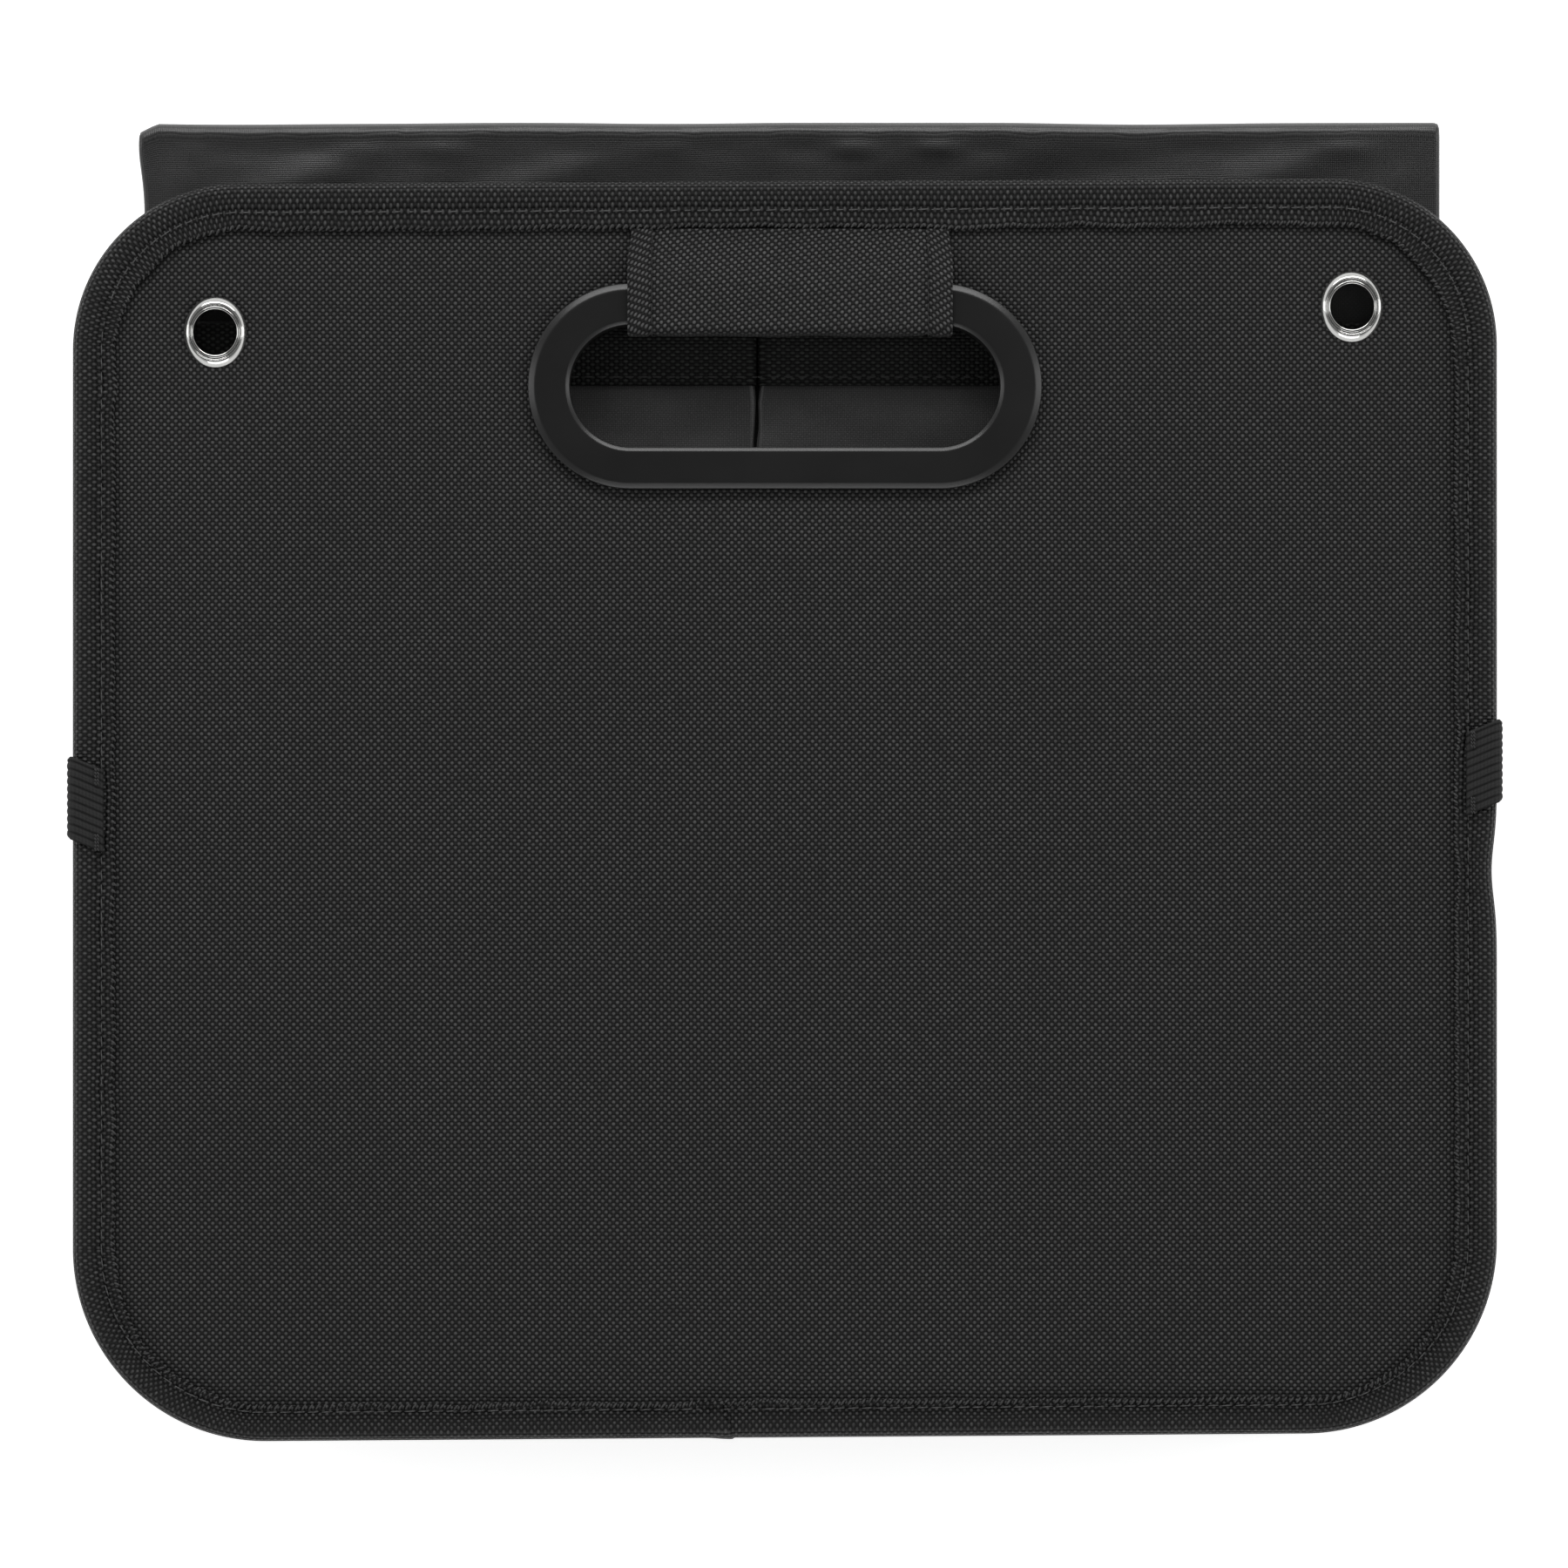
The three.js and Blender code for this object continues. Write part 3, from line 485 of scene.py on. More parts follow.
def weave_nodes(tree, source, pitch_mm, scale_to_mm, wobble, lead=0.0):
    """The weave at a thread pitch in millimetres, with threads that wander a little."""
    across, along = pitch_mm
    scaled = add_node(tree, "ShaderNodeVectorMath", {0: source, 1: [scale_to_mm] * 3}, operation="MULTIPLY")
    drift = add_node(tree, "ShaderNodeTexNoise", {"Vector": scaled.outputs[0], "Scale": 0.11, "Detail": 2.0})
    centred = add_node(tree, "ShaderNodeVectorMath", {0: drift.outputs["Color"], 1: (0.5, 0.5, 0.5)},
                       operation="SUBTRACT")
    moved = add_node(tree, "ShaderNodeVectorMath",
                     {0: centred.outputs[0], 1: [wobble] * 3, 2: scaled.outputs[0]}, operation="MULTIPLY_ADD")
    threads = add_node(tree, "ShaderNodeVectorMath", {0: moved.outputs[0], 1: (1 / across, 1 / along, 1.0)},
                       operation="MULTIPLY")
    weave = add_node(tree, "ShaderNodeGroup", node_tree=PLAIN_WEAVE)
    tree.links.new(threads.outputs[0], weave.inputs["Threads"])
    weave.inputs["Lead"].default_value = lead
    single = add_node(tree, "ShaderNodeVectorMath", {0: threads.outputs[0]}, operation="FLOOR")
    random = add_node(tree, "ShaderNodeTexWhiteNoise", {"Vector": single.outputs[0]})
    return scaled.outputs[0], weave.outputs["Height"], weave.outputs["Weft"], random.outputs["Value"]


def cloth_material(name, coordinates, pitch_mm, colours, bump_mm, roughness, sheen, wobble, spread,
                   specular=0.25, lead=0.0):
    """Woven cloth: dark gaps, painted shade between the threads, and warp and weft in different colours, the weft
    painted lighter as a highlight of the light from above.
    """
    material, tree, shader, source = new_material(name, coordinates)
    gap, warp, weft = map(srgb, colours)
    to_mm = 1 / MM if coordinates == "Object" else 1.0
    place, height, over, random = weave_nodes(tree, source, pitch_mm, to_mm, wobble, lead)
    # Painted highlight: the weft colour is lighter than the warp's, as if it caught the light from above
    thread = add_node(tree, "ShaderNodeMix", {"Factor": over, 6: warp, 7: weft}, data_type="RGBA")
    shade = add_node(tree, "ShaderNodeMapRange",
                     {"Value": random, "To Min": 1 - spread, "To Max": 1 + spread})
    lit_weft_and_random_tone = add_node(tree, "ShaderNodeVectorMath", {0: thread.outputs[2], "Scale": shade.outputs[0]},
                      operation="SCALE")
    # Painted shade: where the threads dip, the colour goes to the dark gap colour
    crest_against_gap_shade = add_node(tree, "ShaderNodeMapRange",
                     {"Value": height, "From Min": 0.35 + lead, "From Max": 0.85 + lead})
    colour = add_node(tree, "ShaderNodeMix", {"Factor": crest_against_gap_shade.outputs[0], 6: gap, 7: lit_weft_and_random_tone.outputs[0]},
                      data_type="RGBA")
    patches = add_node(tree, "ShaderNodeTexNoise", {"Vector": place, "Scale": 0.02, "Detail": 3.0})
    faded = add_node(tree, "ShaderNodeMapRange",
                     {"Value": patches.outputs[0], "To Min": 0.86, "To Max": 1.14})
    toned = add_node(tree, "ShaderNodeVectorMath", {0: colour.outputs[2], "Scale": faded.outputs[0]},
                     operation="SCALE")
    bump = add_node(tree, "ShaderNodeBump", {"Height": height, "Distance": bump_mm * MM, "Strength": 1.0})
    set_inputs(tree, shader, {
        "Base Color": toned.outputs[0], "Normal": bump.outputs[0], "Roughness": roughness,
        "Specular IOR Level": specular, "Sheen Weight": sheen, "Sheen Roughness": 0.5})
    return material


def elastic_material():
    """Knitted elastic: the ribs are in the mesh, and fine cross stitches roughen them. The colour is painted dark
    in the rib valleys and between the stitches, as shade.
    """
    material, tree, shader, source = new_material("elastic_black_knit", "UV")
    height = weave_nodes(tree, source, (0.8, 0.95), 1.0, 0.1)[1]
    # Painted shade: the colour darkens in the valleys between the ribs and where the knit stitches dip
    parts = add_node(tree, "ShaderNodeSeparateXYZ", {0: source})
    phase = add_node(tree, "ShaderNodeMath", {0: parts.outputs["Y"], 1: math.pi * STRAP_RIBS / STRAP_WIDTH},
                     operation="MULTIPLY")
    wave = add_node(tree, "ShaderNodeMath", {0: phase.outputs[0]}, operation="SINE")
    rib_shade_factor = add_node(tree, "ShaderNodeMath", {0: wave.outputs[0]}, operation="ABSOLUTE")
    wear_and_knit_shade = add_node(tree, "ShaderNodeMath", {0: height, 1: 0.45, 2: 0.35}, operation="MULTIPLY_ADD")
    shade = add_node(tree, "ShaderNodeMath", {0: wear_and_knit_shade.outputs[0], 1: rib_shade_factor.outputs[0]}, operation="MULTIPLY")
    colour = add_node(tree, "ShaderNodeMix",
                      {"Factor": shade.outputs[0], 6: srgb(0x050505), 7: srgb(0x3A3A3A)}, data_type="RGBA")
    bump = add_node(tree, "ShaderNodeBump", {"Height": height, "Distance": 0.15 * MM, "Strength": 0.9})
    set_inputs(tree, shader, {"Base Color": colour.outputs[2], "Normal": bump.outputs[0],
                              "Roughness": 0.75, "Specular IOR Level": 0.25})
    return material


def grained_material(name, grain, colours, roughness, bump_mm=0.0, bump_grain=None, strength=1.0, **others):
    """Noise in the colour, and in the roughness if that is a pair. The bump follows it or has its own."""
    material, tree, shader, source = new_material(name)
    dark, light = map(srgb, colours)
    tone = add_node(tree, "ShaderNodeTexNoise", {"Vector": source, **grain})
    colour = add_node(tree, "ShaderNodeMix", {"Factor": tone.outputs[0], 6: dark, 7: light}, data_type="RGBA")
    if isinstance(roughness, tuple):
        wear_and_knit_shade = add_node(tree, "ShaderNodeMapRange",
                        {"Value": tone.outputs[0], "To Min": roughness[0], "To Max": roughness[1]})
        roughness = wear_and_knit_shade.outputs[0]
    set_inputs(tree, shader, {"Base Color": colour.outputs[2], "Roughness": roughness, **others})
    if bump_mm:
        if bump_grain:
            tone = add_node(tree, "ShaderNodeTexNoise", {"Vector": source, **bump_grain})
        bump = add_node(tree, "ShaderNodeBump",
                        {"Height": tone.outputs[0], "Distance": bump_mm * MM, "Strength": strength})
        set_inputs(tree, shader, {"Normal": bump.outputs[0]})
    return material


def thread_material(name, tone):
    """Bonded polyester sewing thread: twisted, with a faint sheen."""
    return grained_material(name, {"Scale": 1800.0, "Detail": 1.0}, (0x101010, tone), 0.6, 0.05)


# Oxford polyester, thread pitch 0.85 mm: the weft floats show as light dashes, painted as a highlight in the weft
# colour, with painted shade in the gaps
oxford_look = {"bump_mm": 0.34, "roughness": 0.8, "sheen": 0.03, "wobble": 0.6, "spread": 0.2, "lead": 0.18}
oxford = cloth_material("oxford_polyester_black", "Object", (0.85, 0.85), (0x0C0C0C, 0x222222, 0x4F4F4F),
                        **oxford_look)
tab_cloth = cloth_material("oxford_tab_black", "UV", (0.85, 0.85), (0x090909, 0x242424, 0x585858),
                           **oxford_look)
# Coated nylon taffeta: its 0.25 mm weave is drawn at 0.5 mm so that it just shows. Its colours are painted
# lighter than the sleeve's nylon, as painted light in the dim inside seen through the grip, with painted shade in
# the gaps and a painted highlight on the weft
nylon = cloth_material("nylon_taffeta_black", "UV", (0.5, 0.5), (0x1C1C1C, 0x303030, 0x383838), 0.03, 0.48,
                       0.1, wobble=0.8, spread=0.15, specular=0.5)
# The bottom board's sleeve nylon: its gap colour is painted shade and its lighter weft a painted highlight
cover_nylon = cloth_material("nylon_sleeve_black", "UV", (0.5, 0.5), (0x080808, 0x131313, 0x202020), 0.07,
                             0.4, 0.05, wobble=0.8, spread=0.25, specular=0.7)
# Polypropylene binding tape: a bump every 1.6 mm, in rows 1.05 mm apart; the crests are painted light as a
# highlight and the gaps near-black as shade
webbing = cloth_material("webbing_polypropylene_black", "UV", (0.8, 1.05), (0x020202, 0x080808, 0x4A4A4A),
                         0.9, 0.55, 0.0, wobble=0.25, spread=0.35, lead=0.3)
# Hem tape on the walls: thin grosgrain with ribs 0.75 mm apart, their crests painted lighter as a highlight and
# their gaps dark as shade
hem_tape = cloth_material("hem_tape_grosgrain_black", "UV", (1.1, 0.75), (0x040404, 0x161716, 0x303230),
                          0.3, 0.75, 0.0, wobble=0.15, spread=0.3, lead=0.2)
elastic = elastic_material()
# Injection-moulded ABS: satin, with a spark-eroded grain of 0.25 mm drawn a little coarse so that it shows
plastic = grained_material("abs_black_moulded", {"Scale": 60.0, "Detail": 4.0}, (0x191919, 0x202020),
                           (0.27, 0.36), 0.012, {"Scale": 2600.0, "Detail": 2.0}, 0.6, IOR=1.5)
# Nickel-plated brass, pressed and polished: mirror bright with fine rub marks
chrome = grained_material("brass_nickel_plated", {"Scale": 300.0, "Detail": 2.0}, (0xC8C8C6, 0xDADAD8),
                          (0.09, 0.15), Metallic=1.0)
# Pressed wood fibre: brown, matt, with short fibres in it
hardboard = grained_material("hardboard_raw", {"Scale": 700.0, "Detail": 5.0, "Distortion": 1.5},
                             (0x4A3B2B, 0x8A745A), 0.9, 0.05)
thread = thread_material("thread_polyester_black", 0x3A3A3A)
# The tab's seam thread is painted near-black, darker than the other black thread, as painted shade along the
# hems' folded edges
tab_seam_thread_painted_shade = thread_material("thread_tab_seam_black", 0x050505)
seam_thread = thread_material("thread_binding_seam_grey", 0x6A6A6A)
edge_yarn = thread_material("tape_edge_yarn_black", 0x4E4E4E)
hook_tape = thread_material("nylon_hook_tape_black", 0x2C2C2C)


# Stitches and loops that follow a line


def stitch_tree():
    """Sets a small rounded bar on a line at every pitch, turned along the line and tilted."""
    tree = bpy.data.node_groups.new("stitches_on_a_line", "GeometryNodeTree")
    add_sockets(tree, "INPUT", ("Geometry", "Geometry"), ("Pitch", "Float"), ("Length", "Float"),
                ("Thickness", "Float"), ("Height", "Float"), ("Tilt", "Float"), ("Up", "Vector"),
                ("Material", "Material"))
    add_sockets(tree, "OUTPUT", ("Geometry", "Geometry"))
    start = add_node(tree, "NodeGroupInput")
    line = add_node(tree, "GeometryNodeMeshToCurve", {"Mesh": start.outputs["Geometry"]})
    spaced = add_node(tree, "GeometryNodeResampleCurve",
                      {"Curve": line.outputs[0], "Length": start.outputs["Pitch"]}, mode="LENGTH")
    tangent = add_node(tree, "GeometryNodeInputTangent")
    lifted = add_node(tree, "FunctionNodeAlignRotationToVector", {"Vector": start.outputs["Up"]}, axis="Z")
    turned = add_node(tree, "FunctionNodeAlignRotationToVector",
                      {"Rotation": lifted.outputs[0], "Vector": tangent.outputs[0]}, axis="X", pivot_axis="Z")
    spin = add_node(tree, "ShaderNodeCombineXYZ", {"Z": start.outputs["Tilt"]})
    tilted = add_node(tree, "FunctionNodeRotateRotation",
                      {"Rotation": turned.outputs[0], "Rotate By": spin.outputs[0]}, rotation_space="LOCAL")
    bar = add_node(tree, "GeometryNodeMeshUVSphere", {"Segments": 6, "Rings": 4, "Radius": 0.5})
    size = add_node(tree, "ShaderNodeCombineXYZ", {"X": start.outputs["Length"], "Y": start.outputs["Thickness"],
                                                   "Z": start.outputs["Height"]})
    along = add_node(tree, "GeometryNodeTransform", {"Geometry": bar.outputs[0], "Rotation": (0, math.pi / 2, 0)})
    shaped = add_node(tree, "GeometryNodeTransform", {"Geometry": along.outputs[0], "Scale": size.outputs[0]})
    placed = add_node(tree, "GeometryNodeInstanceOnPoints",
                      {"Points": spaced.outputs[0], "Instance": shaped.outputs[0], "Rotation": tilted.outputs[0]})
    real = add_node(tree, "GeometryNodeRealizeInstances", {"Geometry": placed.outputs[0]})
    smooth = add_node(tree, "GeometryNodeSetShadeSmooth", {"Geometry": real.outputs[0]})
    finished = add_node(tree, "GeometryNodeSetMaterial",
                        {"Geometry": smooth.outputs[0], "Material": start.outputs["Material"]})
    add_node(tree, "NodeGroupOutput", {0: finished.outputs[0]})
    return tree


STITCHES = stitch_tree()


def stitched(name, points, material, pitch, size, closed=False, up=(0, 0, 1), tilt=0.0):
    """Stitches of a length, thickness and height along a line in the frame, in millimetres, as a mesh."""
    points = np.asarray(points, float) * MM
    edges = [(index, index + 1) for index in range(len(points) - 1)]
    if closed:
        edges.append((len(points) - 1, 0))
    mesh = bpy.data.meshes.new(name)
    mesh.from_pydata(points.tolist(), edges, [])
    piece = linked(name, mesh)
    modifier = piece.modifiers.new("stitches", "NODES")
    modifier.node_group = STITCHES
    length, thickness, height = (value * MM for value in size)
    values = {"Pitch": pitch * MM, "Length": length, "Thickness": thickness, "Height": height, "Up": up,
              "Tilt": tilt, "Material": material}
    for item in STITCHES.interface.items_tree:
        if item.in_out == "INPUT" and item.name in values:
            modifier[item.identifier] = values[item.name]
    applied(piece)
    piece.data.materials.clear()
    piece.data.materials.append(material)
    piece.data.polygons.foreach_set("material_index", [0] * len(piece.data.polygons))
    return piece


# Panel pieces


def panel_sheet(name, panel, level, thickness, cell, material, seed, pillow):
    """A flat cloth over the board: holes for the eyelets and the grip, and a faint unevenness."""
    xs, ys = (np.arange(-half + SHEET_INSET, half - 2, cell) for half in (HALF_W, HALF_H))
    x, y = np.meshgrid(xs, ys, indexing="ij")
    depth, _ = depth_inside(x, y)
    grip_half = (GRIP_LENGTH - GRIP_HEIGHT) / 2
    grip_gap = np.hypot(np.maximum(np.abs(x) - grip_half, 0), y - GRIP_Y) - GRIP_HEIGHT / 2
    keep = (depth > SHEET_INSET - 0.1) & (grip_gap > -5)
    for eyelet_x, eyelet_y in EYELETS.values():
        away_x, away_y = x - eyelet_x, y - eyelet_y
        radius = np.hypot(away_x, away_y)
        keep &= radius > CLOTH_CUT
        drawn = (radius > CLOTH_CUT) & (radius < CLOTH_DRAWN)
        scale = np.where(drawn, CLOTH_HOLE / np.maximum(radius, 1), 1)
        x, y = eyelet_x + away_x * scale, eyelet_y + away_y * scale
    sunk = smooth_step(depth, 9, 22) * smooth_step(np.abs(grip_gap), 0, 12)
    z = level + pillow * sunk * (0.55 + 0.45 * soft_noise(x, y, 85, seed))
    faces = net_faces(*x.shape)
    faces = faces[keep.ravel()[faces].all(1)]
    points = np.stack([x, y, z], -1).reshape(-1, 3)
    used, order = np.unique(faces, return_inverse=True)
    piece = new_piece(name, on_panel(points[used], panel), order.reshape(-1, 4), material,
                      uv=points[used][:, :2])
    area = surface_area(piece)
    thickened(piece, thickness)
    return piece, area


def binding_width(x, y):
    """The tape shows wider along the top than along the bottom, and its edge wanders."""
    lift = smooth_step(y, 90, 130) * 1.1 - smooth_step(-y, 110, 140) * 1.3 - 0.5
    return BINDING_WIDTH + lift + 0.28 * soft_noise(x, y, 22, 5) + 0.15 * soft_noise(x, y, 7, 6)


def tape_overlap(x, y, inset):
    """Where the tape's two ends overlap at the bottom, the upper one folded under on a slant."""
    along = x - TAPE_END_X + 0.35 * inset
    return (smooth_step(along, -6.5, -0.8) - smooth_step(along, -0.1, 0.35)) * (y < 0)


def binding_section(width):
    """The tape round the edge, from the front leg's edge over the nose to the back leg's edge and back."""
    middle, half = (BINDING_TOP + BINDING_BACK) / 2, (BINDING_TOP - BINDING_BACK) / 2
    back_width = BINDING_WIDTH - 0.2
    front = [(width - 0.1, BINDING_TOP - 0.35), (width - 0.5, BINDING_TOP - 0.05)]
    front += [(inset, BINDING_TOP) for inset in np.linspace(width - 1.2, BINDING_NOSE + 0.8, 7)]
    nose = [(BINDING_NOSE * (1 - math.cos(a)), middle + half * math.sin(a))
            for a in np.linspace(math.pi / 2, -math.pi / 2, 15)]
    back = [(inset, BINDING_BACK) for inset in np.linspace(BINDING_NOSE + 1.5, back_width - 0.8, 4)]
    hidden = [
        (back_width, BINDING_BACK + 0.4), (back_width, BINDING_BACK_SEAT), (BINDING_WALL, BINDING_BACK_SEAT),
        (BINDING_WALL, BINDING_SEAT), (width - 0.1, BINDING_SEAT),
    ]
    return np.array(front + nose + back + hidden)


def binding_piece(panel):
    """The webbing folded over the panel's edge, drawn down a little along its seam."""
    edge_x, edge_y = OUTLINE[:, :1], OUTLINE[:, 1:]
    sections = np.stack([binding_section(w) for w in binding_width(OUTLINE[:, 0], OUTLINE[:, 1])])
    inset, level = sections[..., 0], sections[..., 1]
    stitches = np.cos(2 * math.pi * OUTLINE_LENGTHS[:, None] / STITCH_PITCH)
    seam = bell(inset, BINDING_SEAM, 0.9) * (0.62 + 0.14 * stitches)
    dome = 0.3 * bell(inset, 4.2, 1.5) + 0.12 * bell(inset, 8.6, 0.9)
    overlap = tape_overlap(edge_x, edge_y, inset)
    height = level + np.where(level > BINDING_TOP - 0.2, dome - seam + 0.8 * overlap, 0)
    swell = 0.12 * soft_noise(edge_x, edge_y, 16, 9)
    swell = np.where(level > 0, np.minimum(swell, 0.1), np.maximum(swell, -0.1))
    height = height + swell * (np.abs(height) > 2.9)
    pinch = PINCH_DEPTH * (edge_x > 0) * bell(edge_y, PINCH_Y, 9.0)
    inset = inset + pinch * smooth_step(-inset, -9.0, -1.0) - 0.3 * overlap * (inset < 2.0)
    x, y = off_path(OUTLINE, OUTLINE_NORMALS, -inset)
    uv = net_map(OUTLINE_LENGTHS, path_lengths(sections.mean(0)))
    uv = np.concatenate([uv, uv[:, -1:] + [0, 1]], 1)
    piece = tube(f"{panel}_binding_tape", on_panel(ringed(np.stack([x, y, height], -1)), panel), webbing, uv)
    dressed(piece, "webbing", f"{panel}_binding")


def line_on_binding(panel, inset, height):
    """A line that keeps a distance from the outline, the same all round or one for each point."""
    distance = np.broadcast_to(inset, len(OUTLINE) - 1)[:, None]
    points = OUTLINE[:-1] - OUTLINE_NORMALS[:-1] * distance
    return on_panel(np.concatenate([points, np.full((len(points), 1), height)], 1), panel)


def binding_details(panel):
    """The lock stitches through the tape, and the slanted loops of its woven edge."""
    down = tuple(-value for value in UP[panel])
    front = stitched("front_seam", line_on_binding(panel, BINDING_SEAM, BINDING_TOP - 0.5), seam_thread,
                     STITCH_PITCH, (2.9, 0.36, 0.4), closed=True, up=UP[panel], tilt=0.06)
    back = stitched("back_seam", line_on_binding(panel, BINDING_SEAM, BINDING_BACK + 0.05), thread,
                    STITCH_PITCH, (2.6, 0.5, 0.4), closed=True, up=down)
    dressed(joined(f"{panel}_binding_stitches", [front, back]), "webbing")
    width = binding_width(OUTLINE[:-1, 0], OUTLINE[:-1, 1])
    loops = stitched(f"{panel}_tape_edge_loops", line_on_binding(panel, width - 0.5, BINDING_TOP - 0.2),
                     edge_yarn, 1.6, (1.7, 0.6, 0.6), closed=True, up=UP[panel], tilt=0.9)
    dressed(loops, "webbing")


def rounded_corner(corner, start, end, steps=5):
    """A corner of a section eased by a curve from one point to another."""
    corner, start, end = map(np.asarray, (corner, start, end))
    shares = np.linspace(0, 1, steps)
    return [tuple((1 - t) ** 2 * start + 2 * t * (1 - t) * corner + t * t * end) for t in shares]


def grip_frame_piece(panel):
    """The moulded grip: bevelled bezel, small lip round the hole, collar and snap hooks."""
    section = np.array([
        (0, GRIP_SEAT + 0.1), (0, GRIP_TOP - 1.1),
        *rounded_corner((0, GRIP_TOP - 0.74), (0, GRIP_TOP - 0.95), (0.2, GRIP_TOP - 0.64)),
        (0.7, GRIP_TOP - 0.4), *rounded_corner((1.5, GRIP_TOP), (1.15, GRIP_TOP - 0.17), (1.9, GRIP_TOP)),
        (2.3, GRIP_TOP), (GRIP_BAR / 2, GRIP_TOP + 0.03), (GRIP_BAR - 1.7, GRIP_TOP),
        *rounded_corner((GRIP_BAR - 1.0, GRIP_TOP), (GRIP_BAR - 1.2, GRIP_TOP),
                        (GRIP_BAR - 0.8, GRIP_TOP - 0.1), 4),
        *rounded_corner((GRIP_BAR, GRIP_TOP - 0.5), (GRIP_BAR - 0.2, GRIP_TOP - 0.4),
                        (GRIP_BAR, GRIP_TOP - 0.8)),
        (GRIP_BAR, GRIP_TOP - 1.1), (GRIP_BAR, 0.0), (GRIP_BAR, GRIP_BACK), (GRIP_BAR - 0.2, GRIP_BACK),
        (COLLAR_INSET + 0.2, GRIP_BACK), (COLLAR_INSET, GRIP_BACK + 0.2), (COLLAR_INSET, GRIP_SEAT),
        (COLLAR_INSET - 0.3, GRIP_SEAT), (0.2, GRIP_SEAT),
    ])
    outline, normals, _ = stadium(GRIP_LENGTH, GRIP_HEIGHT, 0.9)
    x, y = off_path(outline, normals, -section[:, 0])
    rings = ringed(np.stack([x, y, np.broadcast_to(section[:, 1], x.shape)], -1))
    parts = [tube("ring", on_panel(rings, panel), plastic)]
    half_height = GRIP_HEIGHT / 2 - COLLAR_INSET
    half_length = GRIP_LENGTH / 2 - COLLAR_INSET
    places = [((x, GRIP_Y - half_height), -math.pi / 2) for x in (-26, 0, 26)]
    places += [((half_length, GRIP_Y), 0.0), ((-half_length, GRIP_Y), math.pi)]
    reach, height = np.array([(-1.9, -4.2), (-0.75, -4.2), (-0.7, -4.7), (0.9, -4.7), (0.9, -5.1),
                              (0, HOOK_BACK), (-1.9, HOOK_BACK)]).T
    for (at_x, at_y), way in places:
        ends = []
        for across in (-HOOK_HALF_WIDTH, HOOK_HALF_WIDTH):
            x = at_x + reach * math.cos(way) - across * math.sin(way)
            y = at_y + reach * math.sin(way) + across * math.cos(way)
            ends.append(on_panel(np.stack([x, y, height], -1), panel))
        parts.append(prism("hook", ends, plastic))
    dressed(joined(f"{panel}_grip_bezel", parts), "plastic", f"{panel}_grip_frame")


def eyelet_piece(panel, side):
    """A pressed eyelet: rolled flange, straight barrel and a curl over the washer."""
    barrel = [(EYELET_HOLE, height) for height in (-3.9, -1.0, 1.5, 3.2)]
    lip = [(5.19, 3.46), (5.26, 3.6), (5.36, 3.69), (5.5, 3.73), (5.72, 3.73), (5.84, 3.69), (5.94, 3.58),
           (6.03, 3.48), (6.12, 3.45), (6.24, 3.46)]
    flange = [(6.31, 3.55), (6.37, 3.7), (6.44, 3.82), (6.53, 3.88), (6.65, 3.87), (6.8, 3.81), (7.0, 3.7),
              (7.25, 3.53), (7.5, 3.34), (7.75, 3.13), (7.95, 2.94), (8.1, 2.79), (EYELET_FLANGE, 2.72)]
    curl = [(5.9, 2.72), (5.55, 2.4), (5.5, 0.0), (5.5, -3.4), (6.3, -3.4), (6.4, -3.7), (6.0, -4.2),
            (5.5, -4.3), (5.2, -4.15)]
    radius, height = np.array(barrel + lip + flange + curl + barrel[:1]).T
    turns = np.linspace(0, 2 * math.pi, EYELET_TURNS + 1)[:, None]
    centre_x, centre_y = EYELETS[side]
    # The pressed ring is a little oval, and narrower the further out
    narrowing = 0.97 - 0.024 * np.maximum(radius - EYELET_HOLE, 0)
    x = centre_x + radius * np.cos(turns) * narrowing
    y = centre_y + radius * np.sin(turns) * 1.01
    points = np.stack([x, y, np.broadcast_to(height, x.shape)], -1)
    piece = tube(f"{panel}_{side}_eyelet_rim", on_panel(points, panel), chrome)
    dressed(piece, "chrome", f"{panel}_{side}_eyelet")


def loop_path():
    """The tab's line in Y and Z, from the top binding over the bar, through the hole and back."""
    bar_top = GRIP_Y + GRIP_HEIGHT / 2
    low, high = node_span("front_handle_loop")
    end = high[1] - PANEL_Y
    half = LOOP_THICKNESS / 2
    inside = low[1] - PANEL_Y + half
    face = GRIP_SEAT + half
    top = high[2] - FRONT_Z - half
    back = low[2] - FRONT_Z + half
    corners = [(end, face), (end - 2.0, face), (bar_top + 0.6, top), (inside, top), (inside, back),
               (bar_top + 0.8, back), (bar_top + 3.8, LOOP_BACK_END), (end, LOOP_BACK_END)]
    return rounded_path(corners, [6.0, 12.0, 1.6, 1.6, 1.6, 1.6], 8, 0.9)


